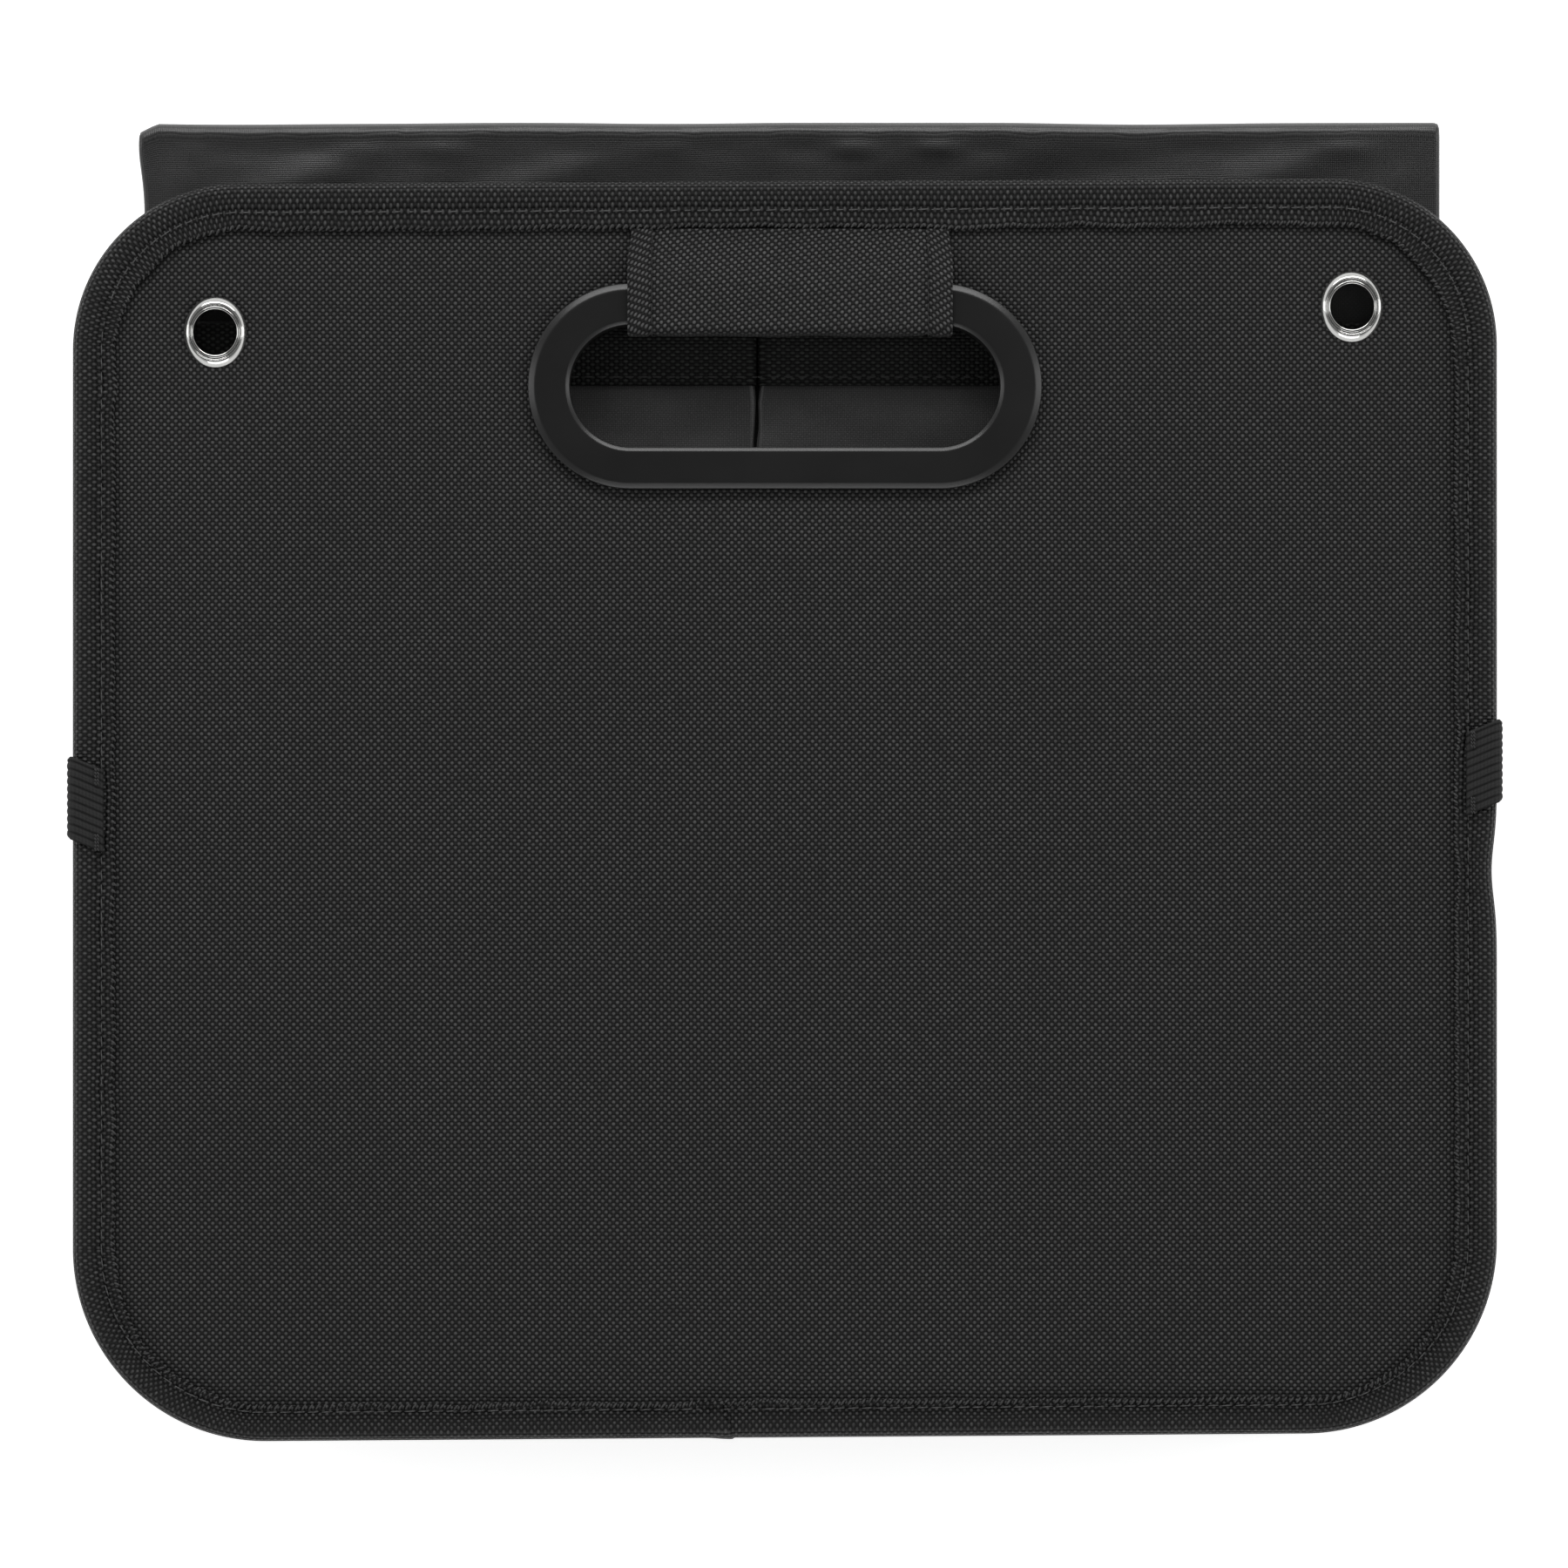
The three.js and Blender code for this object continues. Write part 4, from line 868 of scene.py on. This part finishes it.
def loop_piece(panel):
    """The hemmed tab: doubled side hems, a sewn line beside each in near-black thread that also paints the shade
    at the hems' edges, and cloth that relaxes between.
    """
    path = loop_path()
    normals = path_normals(path)
    lengths = path_lengths(path)
    fine = 7
    hem_across = np.linspace(0, fine, 22)
    across = np.concatenate([hem_across, np.linspace(fine, LOOP_WIDTH - fine, 56)[1:-1],
                             LOOP_WIDTH - hem_across[::-1]])
    edge = np.minimum(across, LOOP_WIDTH - across)
    half = LOOP_THICKNESS / 2 - 0.12 + 0.2 * smooth_step(LOOP_HEM - edge, 0, 0.5)
    half = np.maximum(half - 0.5 * bell(edge, LOOP_HEM, 0.75), 0.06) * (0.5 + 0.5 * smooth_step(edge, 0, 0.6))
    ends = smooth_step(np.minimum(lengths, lengths[-1] - lengths), 0, 9)[:, None]
    x = (across - LOOP_WIDTH / 2) * (1 - 0.022 * (1 - ends)) + LOOP_LEFT + LOOP_WIDTH / 2
    sag = 0.16 * soft_noise(LOOP_LEFT + across, lengths[:, None], 17, 21) * smooth_step(edge, 1, 8)
    front, back = (np.stack([x, *off_path(path, normals, side * half + np.clip(sag, -0.14, 0.14))], -1)
                   for side in (1, -1))
    v = np.concatenate([across, across[::-1] + 0.3, [0.0]])
    slant = 0.12 * v + 0.5 * np.minimum(np.minimum(v, LOOP_WIDTH - v), LOOP_HEM)
    uv = np.stack(np.broadcast_arrays(v, lengths[:, None] + slant), -1)
    piece = flat_tube(f"{panel}_handle_tab", on_panel(front, panel), on_panel(back, panel), tab_cloth, uv)
    dressed(piece, "oxford", f"{panel}_handle_loop")
    line = path[lengths < lengths[path[:, 0].argmin()] - 1.0]
    seat = half[np.abs(edge - LOOP_HEM).argmin()] + 0.2
    lift = line + path_normals(line) * math.copysign(seat, normals[0, 1])
    rows = []
    # Real stitches, in a near-black thread that also stands for the painted shade at each hem's edge
    for at in (LOOP_HEM, LOOP_WIDTH - LOOP_HEM):
        points = np.column_stack([np.full(len(lift), LOOP_LEFT + at), lift])
        rows.append(stitched("row", on_panel(points, panel), tab_seam_thread_painted_shade, 2.6, (2.5, 0.5, 0.45),
                             up=UP[panel]))
    dressed(joined(f"{panel}_tab_stitches", rows), "oxford")


def dress_panel(panel):
    # Name, slot and node of each sheet, then its level, thickness, cell, material, seed and pillow
    for name, slot, node, *shape in (
            ("face_cloth", "oxford", "face_fabric", 2.1, 0.55, 2.5, oxford, 11, 0.35),
            ("lining_cloth", "nylon", "lining", -2.05, CLOTH, 5.0, nylon, 12, -0.1)):
        sheet, area = panel_sheet(f"{panel}_{name}", panel, *shape)
        dressed(sheet, slot, f"{panel}_{node}")
    binding_piece(panel)
    binding_details(panel)
    grip_frame_piece(panel)
    for side in EYELETS:
        eyelet_piece(panel, side)
    loop_piece(panel)


for panel_name in ("front", "rear"):
    dress_panel(panel_name)

# Cloth between the panels

WALL_LOW, WALL_HIGH = node_span("right_side_wall")
HEM_LOW, HEM_HIGH = node_span("right_wall_hem")
WALL_EDGE = WALL_HIGH[0] - 0.25
# Heights of the four leaves of a side wall, from the front panel to the rear one
WALL_LEVELS = [FRONT_Z - WALL_DEPTH, FRONT_Z - WALL_DEPTH - LEAF_PITCH,
               REAR_Z + WALL_DEPTH + LEAF_PITCH, REAR_Z + WALL_DEPTH]


def wall_line(side, step):
    edge = side * WALL_EDGE
    front_fold, rear_fold = (shift + side * FOLD_GAP / 2 for shift in (FOLD_SHIFT, -FOLD_SHIFT))
    first, second, third, fourth = WALL_LEVELS
    corners = [(edge, WALL_HIGH[2]), (edge, first), (front_fold, first), (front_fold, second), (edge, second),
               (edge, third), (rear_fold, third), (rear_fold, fourth), (edge, fourth), (edge, WALL_LOW[2])]
    return rounded_path(corners, LEAF_PITCH / 2, 6, step)


def side_wall(name, side):
    """One wall: four leaves, loose folds near the middle, and a soft bulge round the outside."""
    path = wall_line(side, 3.0)
    lengths = path_lengths(path)
    ys = np.linspace(WALL_LOW[1], WALL_HIGH[1], 84)
    s, y = np.meshgrid(lengths, ys, indexing="ij")
    below_hem = HEM_LOW[1] - y
    hem_calm = smooth_step(below_hem, -4, 14)
    ends = smooth_step(np.minimum(s, lengths[-1] - s), 0, 12)
    folds = 0.4 * soft_noise(s, y, 34, 31 + side) + 0.2 * soft_noise(s, y, 12, 41 + side)
    push = np.clip(folds, -0.6, 0.6) * (0.25 + 0.75 * hem_calm) * ends
    path_x, path_z = path[:, :1], path[:, 1:]
    outside = smooth_step(path_z, WALL_LEVELS[2] + 1, WALL_LEVELS[2] + 5)
    outside = outside * smooth_step(WALL_LEVELS[1] - path_z, 1, 5)
    outside = outside * smooth_step(np.abs(path_x), WALL_EDGE - 2, WALL_EDGE - 0.5)
    swell = 2.4 + 1.6 * soft_noise(path_z * 2.2, y, 42, 51 + side)
    bulge = outside * swell * hem_calm * smooth_step(y - WALL_LOW[1], 0, 30)
    x, z = off_path(path, path_normals(path), push)
    x = x + side * np.maximum(bulge, 0)
    # The fold lies open below the hem
    x = x - side * 1.05 * smooth_step(-np.abs(x), -12, -6) * smooth_step(below_hem, -2, 3)
    uv = np.stack([s, y], -1)
    piece = new_piece(f"{name}_cloth", kept_inside(x, y, z), net_faces(*s.shape), nylon, uv=uv)
    thickened(piece, CLOTH)
    dressed(piece, "nylon", f"{name}_side_wall")


def hem_strip(name, path, depth, cloth_depth, y_top, node):
    """A tape folded over the top edge of a cloth: two legs and a rounded top."""
    normals = path_normals(path)
    lengths = path_lengths(path)
    half, inner = depth / 2, cloth_depth / 2
    low = y_top - HEM_WIDTH
    shoulder = y_top - half * 0.9
    legs = np.linspace(low, shoulder, 7)
    angles = np.linspace(0, math.pi, 7)[1:-1]
    top = [(half * math.cos(a), shoulder + half * 0.9 * math.sin(a)) for a in angles]
    section = [(half, y) for y in legs] + top + [(-half, y) for y in legs[::-1]]
    section += [(-inner, low), (-inner, y_top - 0.9), (inner, y_top - 0.9), (inner, low)]
    section = np.array(section + section[:1])
    wave = 0.24 * soft_noise(lengths[:, None], section[:, 1], 14, 61) * (section[:, 1] > y_top - 2)
    x, z = off_path(path, normals, section[:, 0])
    points = np.stack([x, np.minimum(section[:, 1] + wave, y_top), z], -1)
    rows, columns = x.shape
    first = range(columns - 1)
    caps = [list(first), [(rows - 1) * columns + i for i in first][::-1]]
    piece = tube(name, points, hem_tape, net_map(lengths, path_lengths(section)), caps)
    dressed(piece, "webbing", node)
    threads = []
    for side in (1, -1):
        line = path + normals * side * (half + 0.02)
        points = np.column_stack([line[:, 0], np.full(len(line), low + 2.0), line[:, 1]])
        threads.append(stitched("row", points, thread, STITCH_PITCH, (2.2, 0.5, 0.3)))
    dressed(joined(f"{name}_stitches", threads), "webbing")


for wall_side, wall_name in ((-1, "left"), (1, "right")):
    side_wall(wall_name, wall_side)
    hem_strip(f"{wall_name}_hem_tape", wall_line(wall_side, 2.5), HEM_DEPTH, HEM_CLOTH, HEM_HIGH[1],
              f"{wall_name}_wall_hem")


def base_piece():
    """The base is one sheet: under each compartment it folds up, and its corners turn over on a slant."""
    low, high = node_span("base_cloth")
    reach = high[1] - low[1]
    half_width = WALL_EDGE - 0.3
    fold_gap = 0.65
    base_levels = [FRONT_Z - 4.35, WALL_LEVELS[1] - 1.6, WALL_LEVELS[2] + 1.7, REAR_Z + 4.35]
    corner_levels = [FRONT_Z - 5.15, WALL_LEVELS[1] - 0.8, WALL_LEVELS[2] + 0.9, REAR_Z + 5.15]
    climb = np.linspace(0, 1, 52)
    turn = np.linspace(0, 1, 8)[1:-1]
    rows = []
    for leaf in range(4):
        rising = leaf % 2 == 0
        rows += [(share, leaf, leaf, 0.0) for share in (climb if rising else climb[::-1])]
        if leaf < 3:
            rows += [(float(rising), leaf, leaf + 1, blend) for blend in turn]
    across = np.linspace(-half_width, half_width, 110)
    grid = []
    for share, leaf, following, blend in rows:
        y = share * reach
        shift = FOLD_SHIFT if leaf < 2 else -FOLD_SHIFT
        left = -half_width + share * (half_width + shift - fold_gap)
        right = half_width - share * (half_width - shift - fold_gap)
        turned_left = across < -half_width + y
        turned_right = across > half_width - y
        x = np.where(turned_left, left, np.where(turned_right, right, np.clip(across, left, right)))
        down = np.where(turned_left, half_width + across, np.where(turned_right, half_width - across, y))
        base, corner = (levels[leaf] * (1 - blend) + levels[following] * blend
                        for levels in (base_levels, corner_levels))
        to_slant = np.minimum(np.abs(across + half_width - y), np.abs(half_width - y - across))
        middle = (base + corner) / 2
        ramp = smooth_step(to_slant, 0, 2)
        z = middle + (np.where(turned_left | turned_right, corner, base) - middle) * ramp
        z = z + 0.08 * soft_noise(across, np.full_like(across, y + 90.0 * leaf), 30, 71)
        grid.append(kept_inside(x, np.clip(down, 0, y) + low[1] + 0.25, z))
    points = np.array(grid)
    row_lengths = path_lengths(points[:, len(across) // 2])
    piece = new_piece("base_folded_cloth", points, net_faces(*points.shape[:2]), nylon,
                      uv=net_map(row_lengths, across)[..., ::-1])
    thickened(piece, CLOTH)
    dressed(piece, "nylon", "base_cloth")


base_piece()


def divider_piece():
    """A stiffened panel in nylon, a little padded, with its low corners rounded."""
    low, high = node_span("divider")
    x, y = np.meshgrid(np.linspace(low[0], high[0], 90), np.linspace(low[1], high[1], 75), indexing="ij")
    edge = np.minimum(np.minimum(x - low[0], high[0] - x), np.minimum(y - low[1], high[1] - y))
    half = (high[2] - low[2]) / 2 * (0.45 + 0.55 * smooth_step(edge, 0, 5)) - 0.02
    middle = (high[2] + low[2]) / 2
    layers = []
    for side in (1, -1):
        z = middle + side * half + side * np.minimum(0.15 * soft_noise(x, y, 60, 81 + side), 0)
        layers.append(kept_inside(x, y, z).reshape(-1, 3))
    rows, columns = x.shape
    count = rows * columns
    top = net_faces(rows, columns)
    rim = [i * columns for i in range(rows)] + [(rows - 1) * columns + j for j in range(1, columns)]
    rim += [i * columns + columns - 1 for i in range(rows - 2, -1, -1)] + list(range(columns - 2, 0, -1))
    sides = [[i, j, j + count, i + count] for i, j in zip(rim, rim[1:] + rim[:1])]
    uv = np.concatenate([np.stack([x, y], -1).reshape(-1, 2)] * 2)
    piece = new_piece("divider_panel", np.concatenate(layers), [*top, *(top[:, ::-1] + count), *sides], nylon,
                      uv=uv, closed=True)
    dressed(piece, "nylon", "divider")
    line = np.column_stack([np.linspace(low[0], high[0], 120), np.full(120, middle)])
    hem_low, hem_high = node_span("divider_hem")
    hem_strip("divider_hem_tape", line, hem_high[2] - hem_low[2], DIVIDER_DEPTH, hem_high[1], "divider_hem")


divider_piece()


def cover_wrinkles(x, s):
    """How far the cover's outer side swells, from the place across and the distance from its top fold."""
    scallops = 0.35 * soft_noise(x, np.zeros_like(x), 16, 91) * bell(s, 5.5, 2.4)
    slants = 0.85 * soft_noise(x + 2.2 * s, s * 0.4, 90, 92) * smooth_step(s, 2, 14)
    creases = 0.22 * soft_noise(x + 1.2 * s, s * 0.5, 34, 93) * smooth_step(s, 4, 13)
    return (scallops + slants + creases) * smooth_step(-s, -44, -22)


def cover_piece():
    """The nylon sleeve of the folded bottom board: a flat tube bent over at the top."""
    low, high = node_span("bottom_board_cover")
    width = high[0] - low[0]
    middle = (low[2] + high[2]) / 2
    depth = (high[2] - low[2]) / 2
    sleeve = depth - 0.25
    bend_radius = depth / 2
    fold_y = high[1] - depth + 0.1
    # Fine steps over the part that shows, coarse ones below
    fine = 46
    near = np.concatenate([np.linspace(low[1], fold_y - fine, 26),
                           np.linspace(fold_y - fine, fold_y, 60)[1:]])
    path = np.array([
        *[(y, middle - bend_radius) for y in near],
        *[(fold_y + bend_radius * math.sin(a), middle - bend_radius * math.cos(a))
          for a in np.linspace(0, math.pi, 27)[1:-1]],
        *[(y, middle + bend_radius) for y in near[::-1]],
    ])
    lengths = path_lengths(path)
    s = np.abs(lengths - lengths[-1] / 2)[:, None]

    # Round the tube: the side that shows, then the hidden one with a quarter of its points
    ends = np.array([0.0, 0.12, 0.4])
    outer_x = np.concatenate([low[0] + ends, np.linspace(low[0] + 1.2, high[0] - 1.2, 181),
                              high[0] - ends[::-1]])
    edge = np.minimum(outer_x - low[0], high[0] - outer_x)
    half = (sleeve / 2) * np.sqrt(np.clip(1 - (1 - np.minimum(edge / 0.45, 1)) ** 2, 0.02, 1))
    inner_x = outer_x[::-1][1:-1:4]
    ring_x = np.concatenate([outer_x, inner_x])
    ring_half = np.concatenate([half, -half[::-1][1:-1:4]])
    outer = np.concatenate([np.ones(len(outer_x)), np.zeros(len(inner_x))])
    from_left, from_right = ring_x - low[0], high[0] - ring_x
    from_end = np.minimum(from_left, from_right)

    wrinkles = cover_wrinkles(ring_x[None, :] + 0 * s, s)
    push = np.where(wrinkles > 0, wrinkles, 0.5 * wrinkles) * outer * smooth_step(from_end, 0, 10)
    lift = COVER_LIFT * (1 - bell(s, 0, 1.2)) * smooth_step(-s, -44, -24) * outer
    lift = lift * smooth_step(from_end, -6, 34)
    offset = ring_half + push * smooth_step(s, 0, 2.5) + lift
    y, z = off_path(path, path_normals(path, -1), offset)
    x = ring_x + 1.3 * smooth_step(s, 2, 20) * smooth_step(-ring_x, -low[0] - 12, -low[0])

    # The top fold is squared, with slanted ends and a top line that sags a little
    reach = bend_radius + sleeve / 2
    past = np.maximum(y - fold_y, 0)
    turn = np.arctan2(past, np.abs(z - middle))
    square = (np.cos(turn) ** 4 + np.sin(turn) ** 4) ** (-1 / 4)
    y = y + outer * past * (square * reach / (reach + lift) - 1)
    z = z + outer * (z - middle) * (square - 1) * smooth_step(past, 0, 0.3)
    chamfer = 2.2 * np.clip(1 - from_left / 4.2, 0, 1) + 0.4 * np.clip(1 - from_right / 1.0, 0, 1)
    wave = np.minimum(0.16 * soft_noise(ring_x, 0 * ring_x, 70, 95) - 0.16, 0)
    y = y + (wave - chamfer) * smooth_step(-s, -14, 0)

    corner = np.clip(COVER_LOW_CORNER - (y - low[1]), 0, COVER_LOW_CORNER)
    pull = COVER_LOW_CORNER - np.sqrt(COVER_LOW_CORNER ** 2 - corner ** 2)
    centre_x = (low[0] + high[0]) / 2
    x = centre_x + (x - centre_x) * (1 - pull / (width / 2))
    points = np.stack([x, np.minimum(y, high[1]), np.maximum(z, low[2] + 0.25)], -1)
    across = np.concatenate([outer_x - low[0], 2 * width - (inner_x - low[0])])
    piece = new_piece("bottom_board_sleeve", points, net_faces(*offset.shape, closed_columns=True),
                      cover_nylon, uv=net_map(lengths, across)[..., ::-1])
    thickened(piece, COVER_THICKNESS)
    dressed(piece, "nylon", "bottom_board_cover")


cover_piece()


# Straps


def strap_piece(name, side):
    """Ribbed elastic round the edge of the stack, sewn down on the front and slanting there."""
    low, high = node_span(f"{name}_strap")
    centre_y = high[1] - STRAP_WIDTH / 2
    inset = 0.45
    outer = side * (max(abs(low[0]), abs(high[0])) - inset)
    inner_front = side * (HALF_W - 7.4)
    inner_rear = side * min(abs(low[0]), abs(high[0]))
    path = rounded_path([(inner_front, high[2] - inset), (outer, high[2] - inset), (outer, low[2] + inset),
                         (inner_rear, low[2] + inset)], 2.2, 8, 0.9)
    lengths = path_lengths(path)
    across = np.linspace(0, STRAP_WIDTH, 106)
    ribs = RIB_HEIGHT * np.abs(np.sin(math.pi * across / STRAP_WIDTH * STRAP_RIBS))
    edge = np.minimum(across, STRAP_WIDTH - across)
    half = (STRAP_THICKNESS / 2 - RIB_HEIGHT + ribs) * (0.6 + 0.4 * smooth_step(edge, 0, 0.6))
    on_front = smooth_step(path[:, 1:], FRONT_Z + 3, FRONT_Z + 4.2)
    drop = STRAP_SLOPE * np.maximum(HALF_W - np.abs(path[:, :1]), 0) * on_front
    waist = 0.91 + 0.05 * smooth_step(on_front, 0.2, 1)
    y = centre_y + (across - STRAP_WIDTH / 2) * waist - drop
    sewn = 0.38 * smooth_step(-lengths, -5.0, -1.5)[:, None]
    layers = []
    for face in (1, -1):
        x, z = off_path(path, path_normals(path, 1), face * half)
        layers.append(np.stack([x, y, z - sewn], -1))
    uv = net_map(lengths, np.concatenate([across, across[::-1], [0.0]]))
    piece = flat_tube(f"{name}_elastic_strap", *layers, elastic, uv)
    dressed(piece, "elastic", f"{name}_strap")
    tacks = []
    top = high[2] - 0.03
    for share in (0.12, 0.88):
        y = centre_y - STRAP_WIDTH / 2 + STRAP_WIDTH * share - STRAP_SLOPE * 6.4
        for step in (0.0, 0.55):
            x = inner_front + side * (1.2 + step)
            tacks.append(stitched("tack", [(x, y - 1.6, top), (x, y + 1.6, top)], thread, 0.8,
                                  (0.9, 0.5, 0.3), tilt=0.5))
    dressed(joined(f"{name}_strap_tacks", tacks), "elastic")


def patch_piece(name):
    """Hook tape under the strap's end: a thin base with rows of tiny hooks."""
    low, high = node_span(f"{name}_strap_patch")
    base_top = low[2] + 0.55
    ys = np.linspace(low[1], high[1], 24)
    pieces = []
    for x in np.linspace(low[0], high[0], 20)[1:-1]:
        line = [(x, y, base_top - 0.05) for y in (ys[1], ys[-2])]
        pieces.append(stitched("hooks", line, hook_tape, 0.85, (0.3, 0.25, 0.9)))
    (left, bottom), (right, top) = low[:2] + 0.3, high[:2] - 0.3
    corners = [(left, bottom, 1.2), (right, bottom, 1.2), (right, top, 1.2), (left, top, 1.2)]
    outline = rounded_outline(corners, 0.8)[0][:-1]
    ends = [np.column_stack([outline, np.full(len(outline), level)]) for level in (base_top, high[2])]
    pieces.append(prism("backing", ends, hook_tape))
    dressed(joined(f"{name}_hook_tape", pieces), "hook_patch", f"{name}_strap_patch")


for strap_side, strap_name in ((-1, "left"), (1, "right")):
    strap_piece(strap_name, strap_side)
    patch_piece(strap_name)


def finish_kept_nodes():
    """The solids that stay as they are get their real finish."""
    finishes = {"bottom_board_front": hardboard, "bottom_board_rear": hardboard}
    for panel in ("front", "rear"):
        finishes[f"{panel}_board"] = hardboard
        finishes[f"{panel}_grip_inner_ring"] = plastic
        finishes.update({f"{panel}_{side}_eyelet_washer": chrome for side in EYELETS})
    for name, finish in finishes.items():
        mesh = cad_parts[name].data
        mesh.materials.clear()
        mesh.materials.append(finish)


finish_kept_nodes()


# Studio: a pale floor, one large soft light beyond the top edge and weaker ones round the rest

PHOTO_WIDTH = 0.3627
PHOTO_SHIFT = (-0.2, 6.04)
CAMERA_LENS = 200.0
SENSOR = 36.0
FLOOR_REACH = 4.0
FLOOR_LEVEL = -0.0002
FLOOR_GLOW = 0.72
# Each light's place, size and power
LIGHTS = {
    "key_beyond_top": ((0.0, 1.35, 1.05), (1.8, 0.5), 17),
    "fill_below": ((0.0, -1.4, 0.9), (1.4, 0.5), 5),
    "fill_left": ((-1.4, 0.2, 0.9), (0.5, 1.4), 4),
    "fill_right": ((1.4, 0.2, 0.9), (0.5, 1.4), 5),
}


def make_camera():
    data = bpy.data.cameras.new("studio_camera")
    data.lens = CAMERA_LENS
    data.sensor_width = SENSOR
    camera = linked("studio_camera", data)
    distance = CAMERA_LENS / SENSOR * PHOTO_WIDTH
    shift_x, shift_y = PHOTO_SHIFT
    camera.location = (shift_x * MM, (PANEL_Y + shift_y) * MM, FRONT_Z * MM + distance)
    bpy.context.scene.camera = camera


def make_light(name, place, size, power):
    """A rectangle of light that faces the object."""
    data = bpy.data.lights.new(name, "AREA")
    data.shape = "RECTANGLE"
    data.size, data.size_y = size
    data.energy = power
    light = linked(name, data)
    light.location = place
    light.rotation_euler = (-light.location).to_track_quat("-Z", "Y").to_euler()


def make_floor():
    """A pale sweep that reads white to the camera and keeps the object's shadow."""
    material, tree, shader, _ = new_material("studio_floor_white")
    rays = add_node(tree, "ShaderNodeLightPath")
    seen = add_node(tree, "ShaderNodeMath",
                    {0: rays.outputs["Is Camera Ray"], 1: rays.outputs["Is Glossy Ray"]}, operation="MAXIMUM")
    clear = add_node(tree, "ShaderNodeMath", {0: seen.outputs[0], 1: rays.outputs["Is Transmission Ray"]},
                     operation="MAXIMUM")
    glow = add_node(tree, "ShaderNodeMath", {0: clear.outputs[0], 1: FLOOR_GLOW}, operation="MULTIPLY")
    set_inputs(tree, shader, {
        "Base Color": srgb(0xF2F2F2), "Roughness": 1.0, "Specular IOR Level": 0.0,
        "Emission Color": (1, 1, 1, 1), "Emission Strength": glow.outputs[0]})
    mesh = bpy.data.meshes.new("studio_floor")
    sides = ((-1, -1), (1, -1), (1, 1), (-1, 1))
    corners = [(x * FLOOR_REACH, y * FLOOR_REACH, FLOOR_LEVEL) for x, y in sides]
    mesh.from_pydata(corners, [], [(0, 1, 2, 3)])
    mesh.materials.append(material)
    linked("studio_floor", mesh)


def make_world():
    """Pale air, brighter low down, with a bright horizon that only reflections see."""
    world = bpy.data.worlds.new("studio_air")
    bpy.context.scene.world = world
    world.use_nodes = True
    tree = world.node_tree
    way = add_node(tree, "ShaderNodeTexCoord")
    parts = add_node(tree, "ShaderNodeSeparateXYZ", {0: way.outputs["Generated"]})
    # Each from its start and end in Z to its strength at both
    band, horizon = (
        add_node(tree, "ShaderNodeMapRange", {"Value": parts.outputs["Z"], "From Min": start, "From Max": end,
                                              "To Min": low, "To Max": high}, interpolation_type="SMOOTHSTEP")
        for start, end, low, high in ((0.5, 0.85, 0.42, 0.1), (0.3, 0.55, 1.0, 0.0)))
    rays = add_node(tree, "ShaderNodeLightPath")
    mirrored = add_node(tree, "ShaderNodeMath", {0: horizon.outputs[0], 1: rays.outputs["Is Glossy Ray"]},
                        operation="MULTIPLY")
    strength = add_node(tree, "ShaderNodeMath", {0: band.outputs[0], 1: mirrored.outputs[0]},
                        operation="MAXIMUM")
    set_inputs(tree, tree.nodes["Background"], {"Color": srgb(0xF4F4F4), "Strength": strength.outputs[0]})


make_camera()
for light_name, light_values in LIGHTS.items():
    make_light(light_name, *light_values)
make_floor()
make_world()
bpy.context.scene.view_settings.view_transform = "Standard"
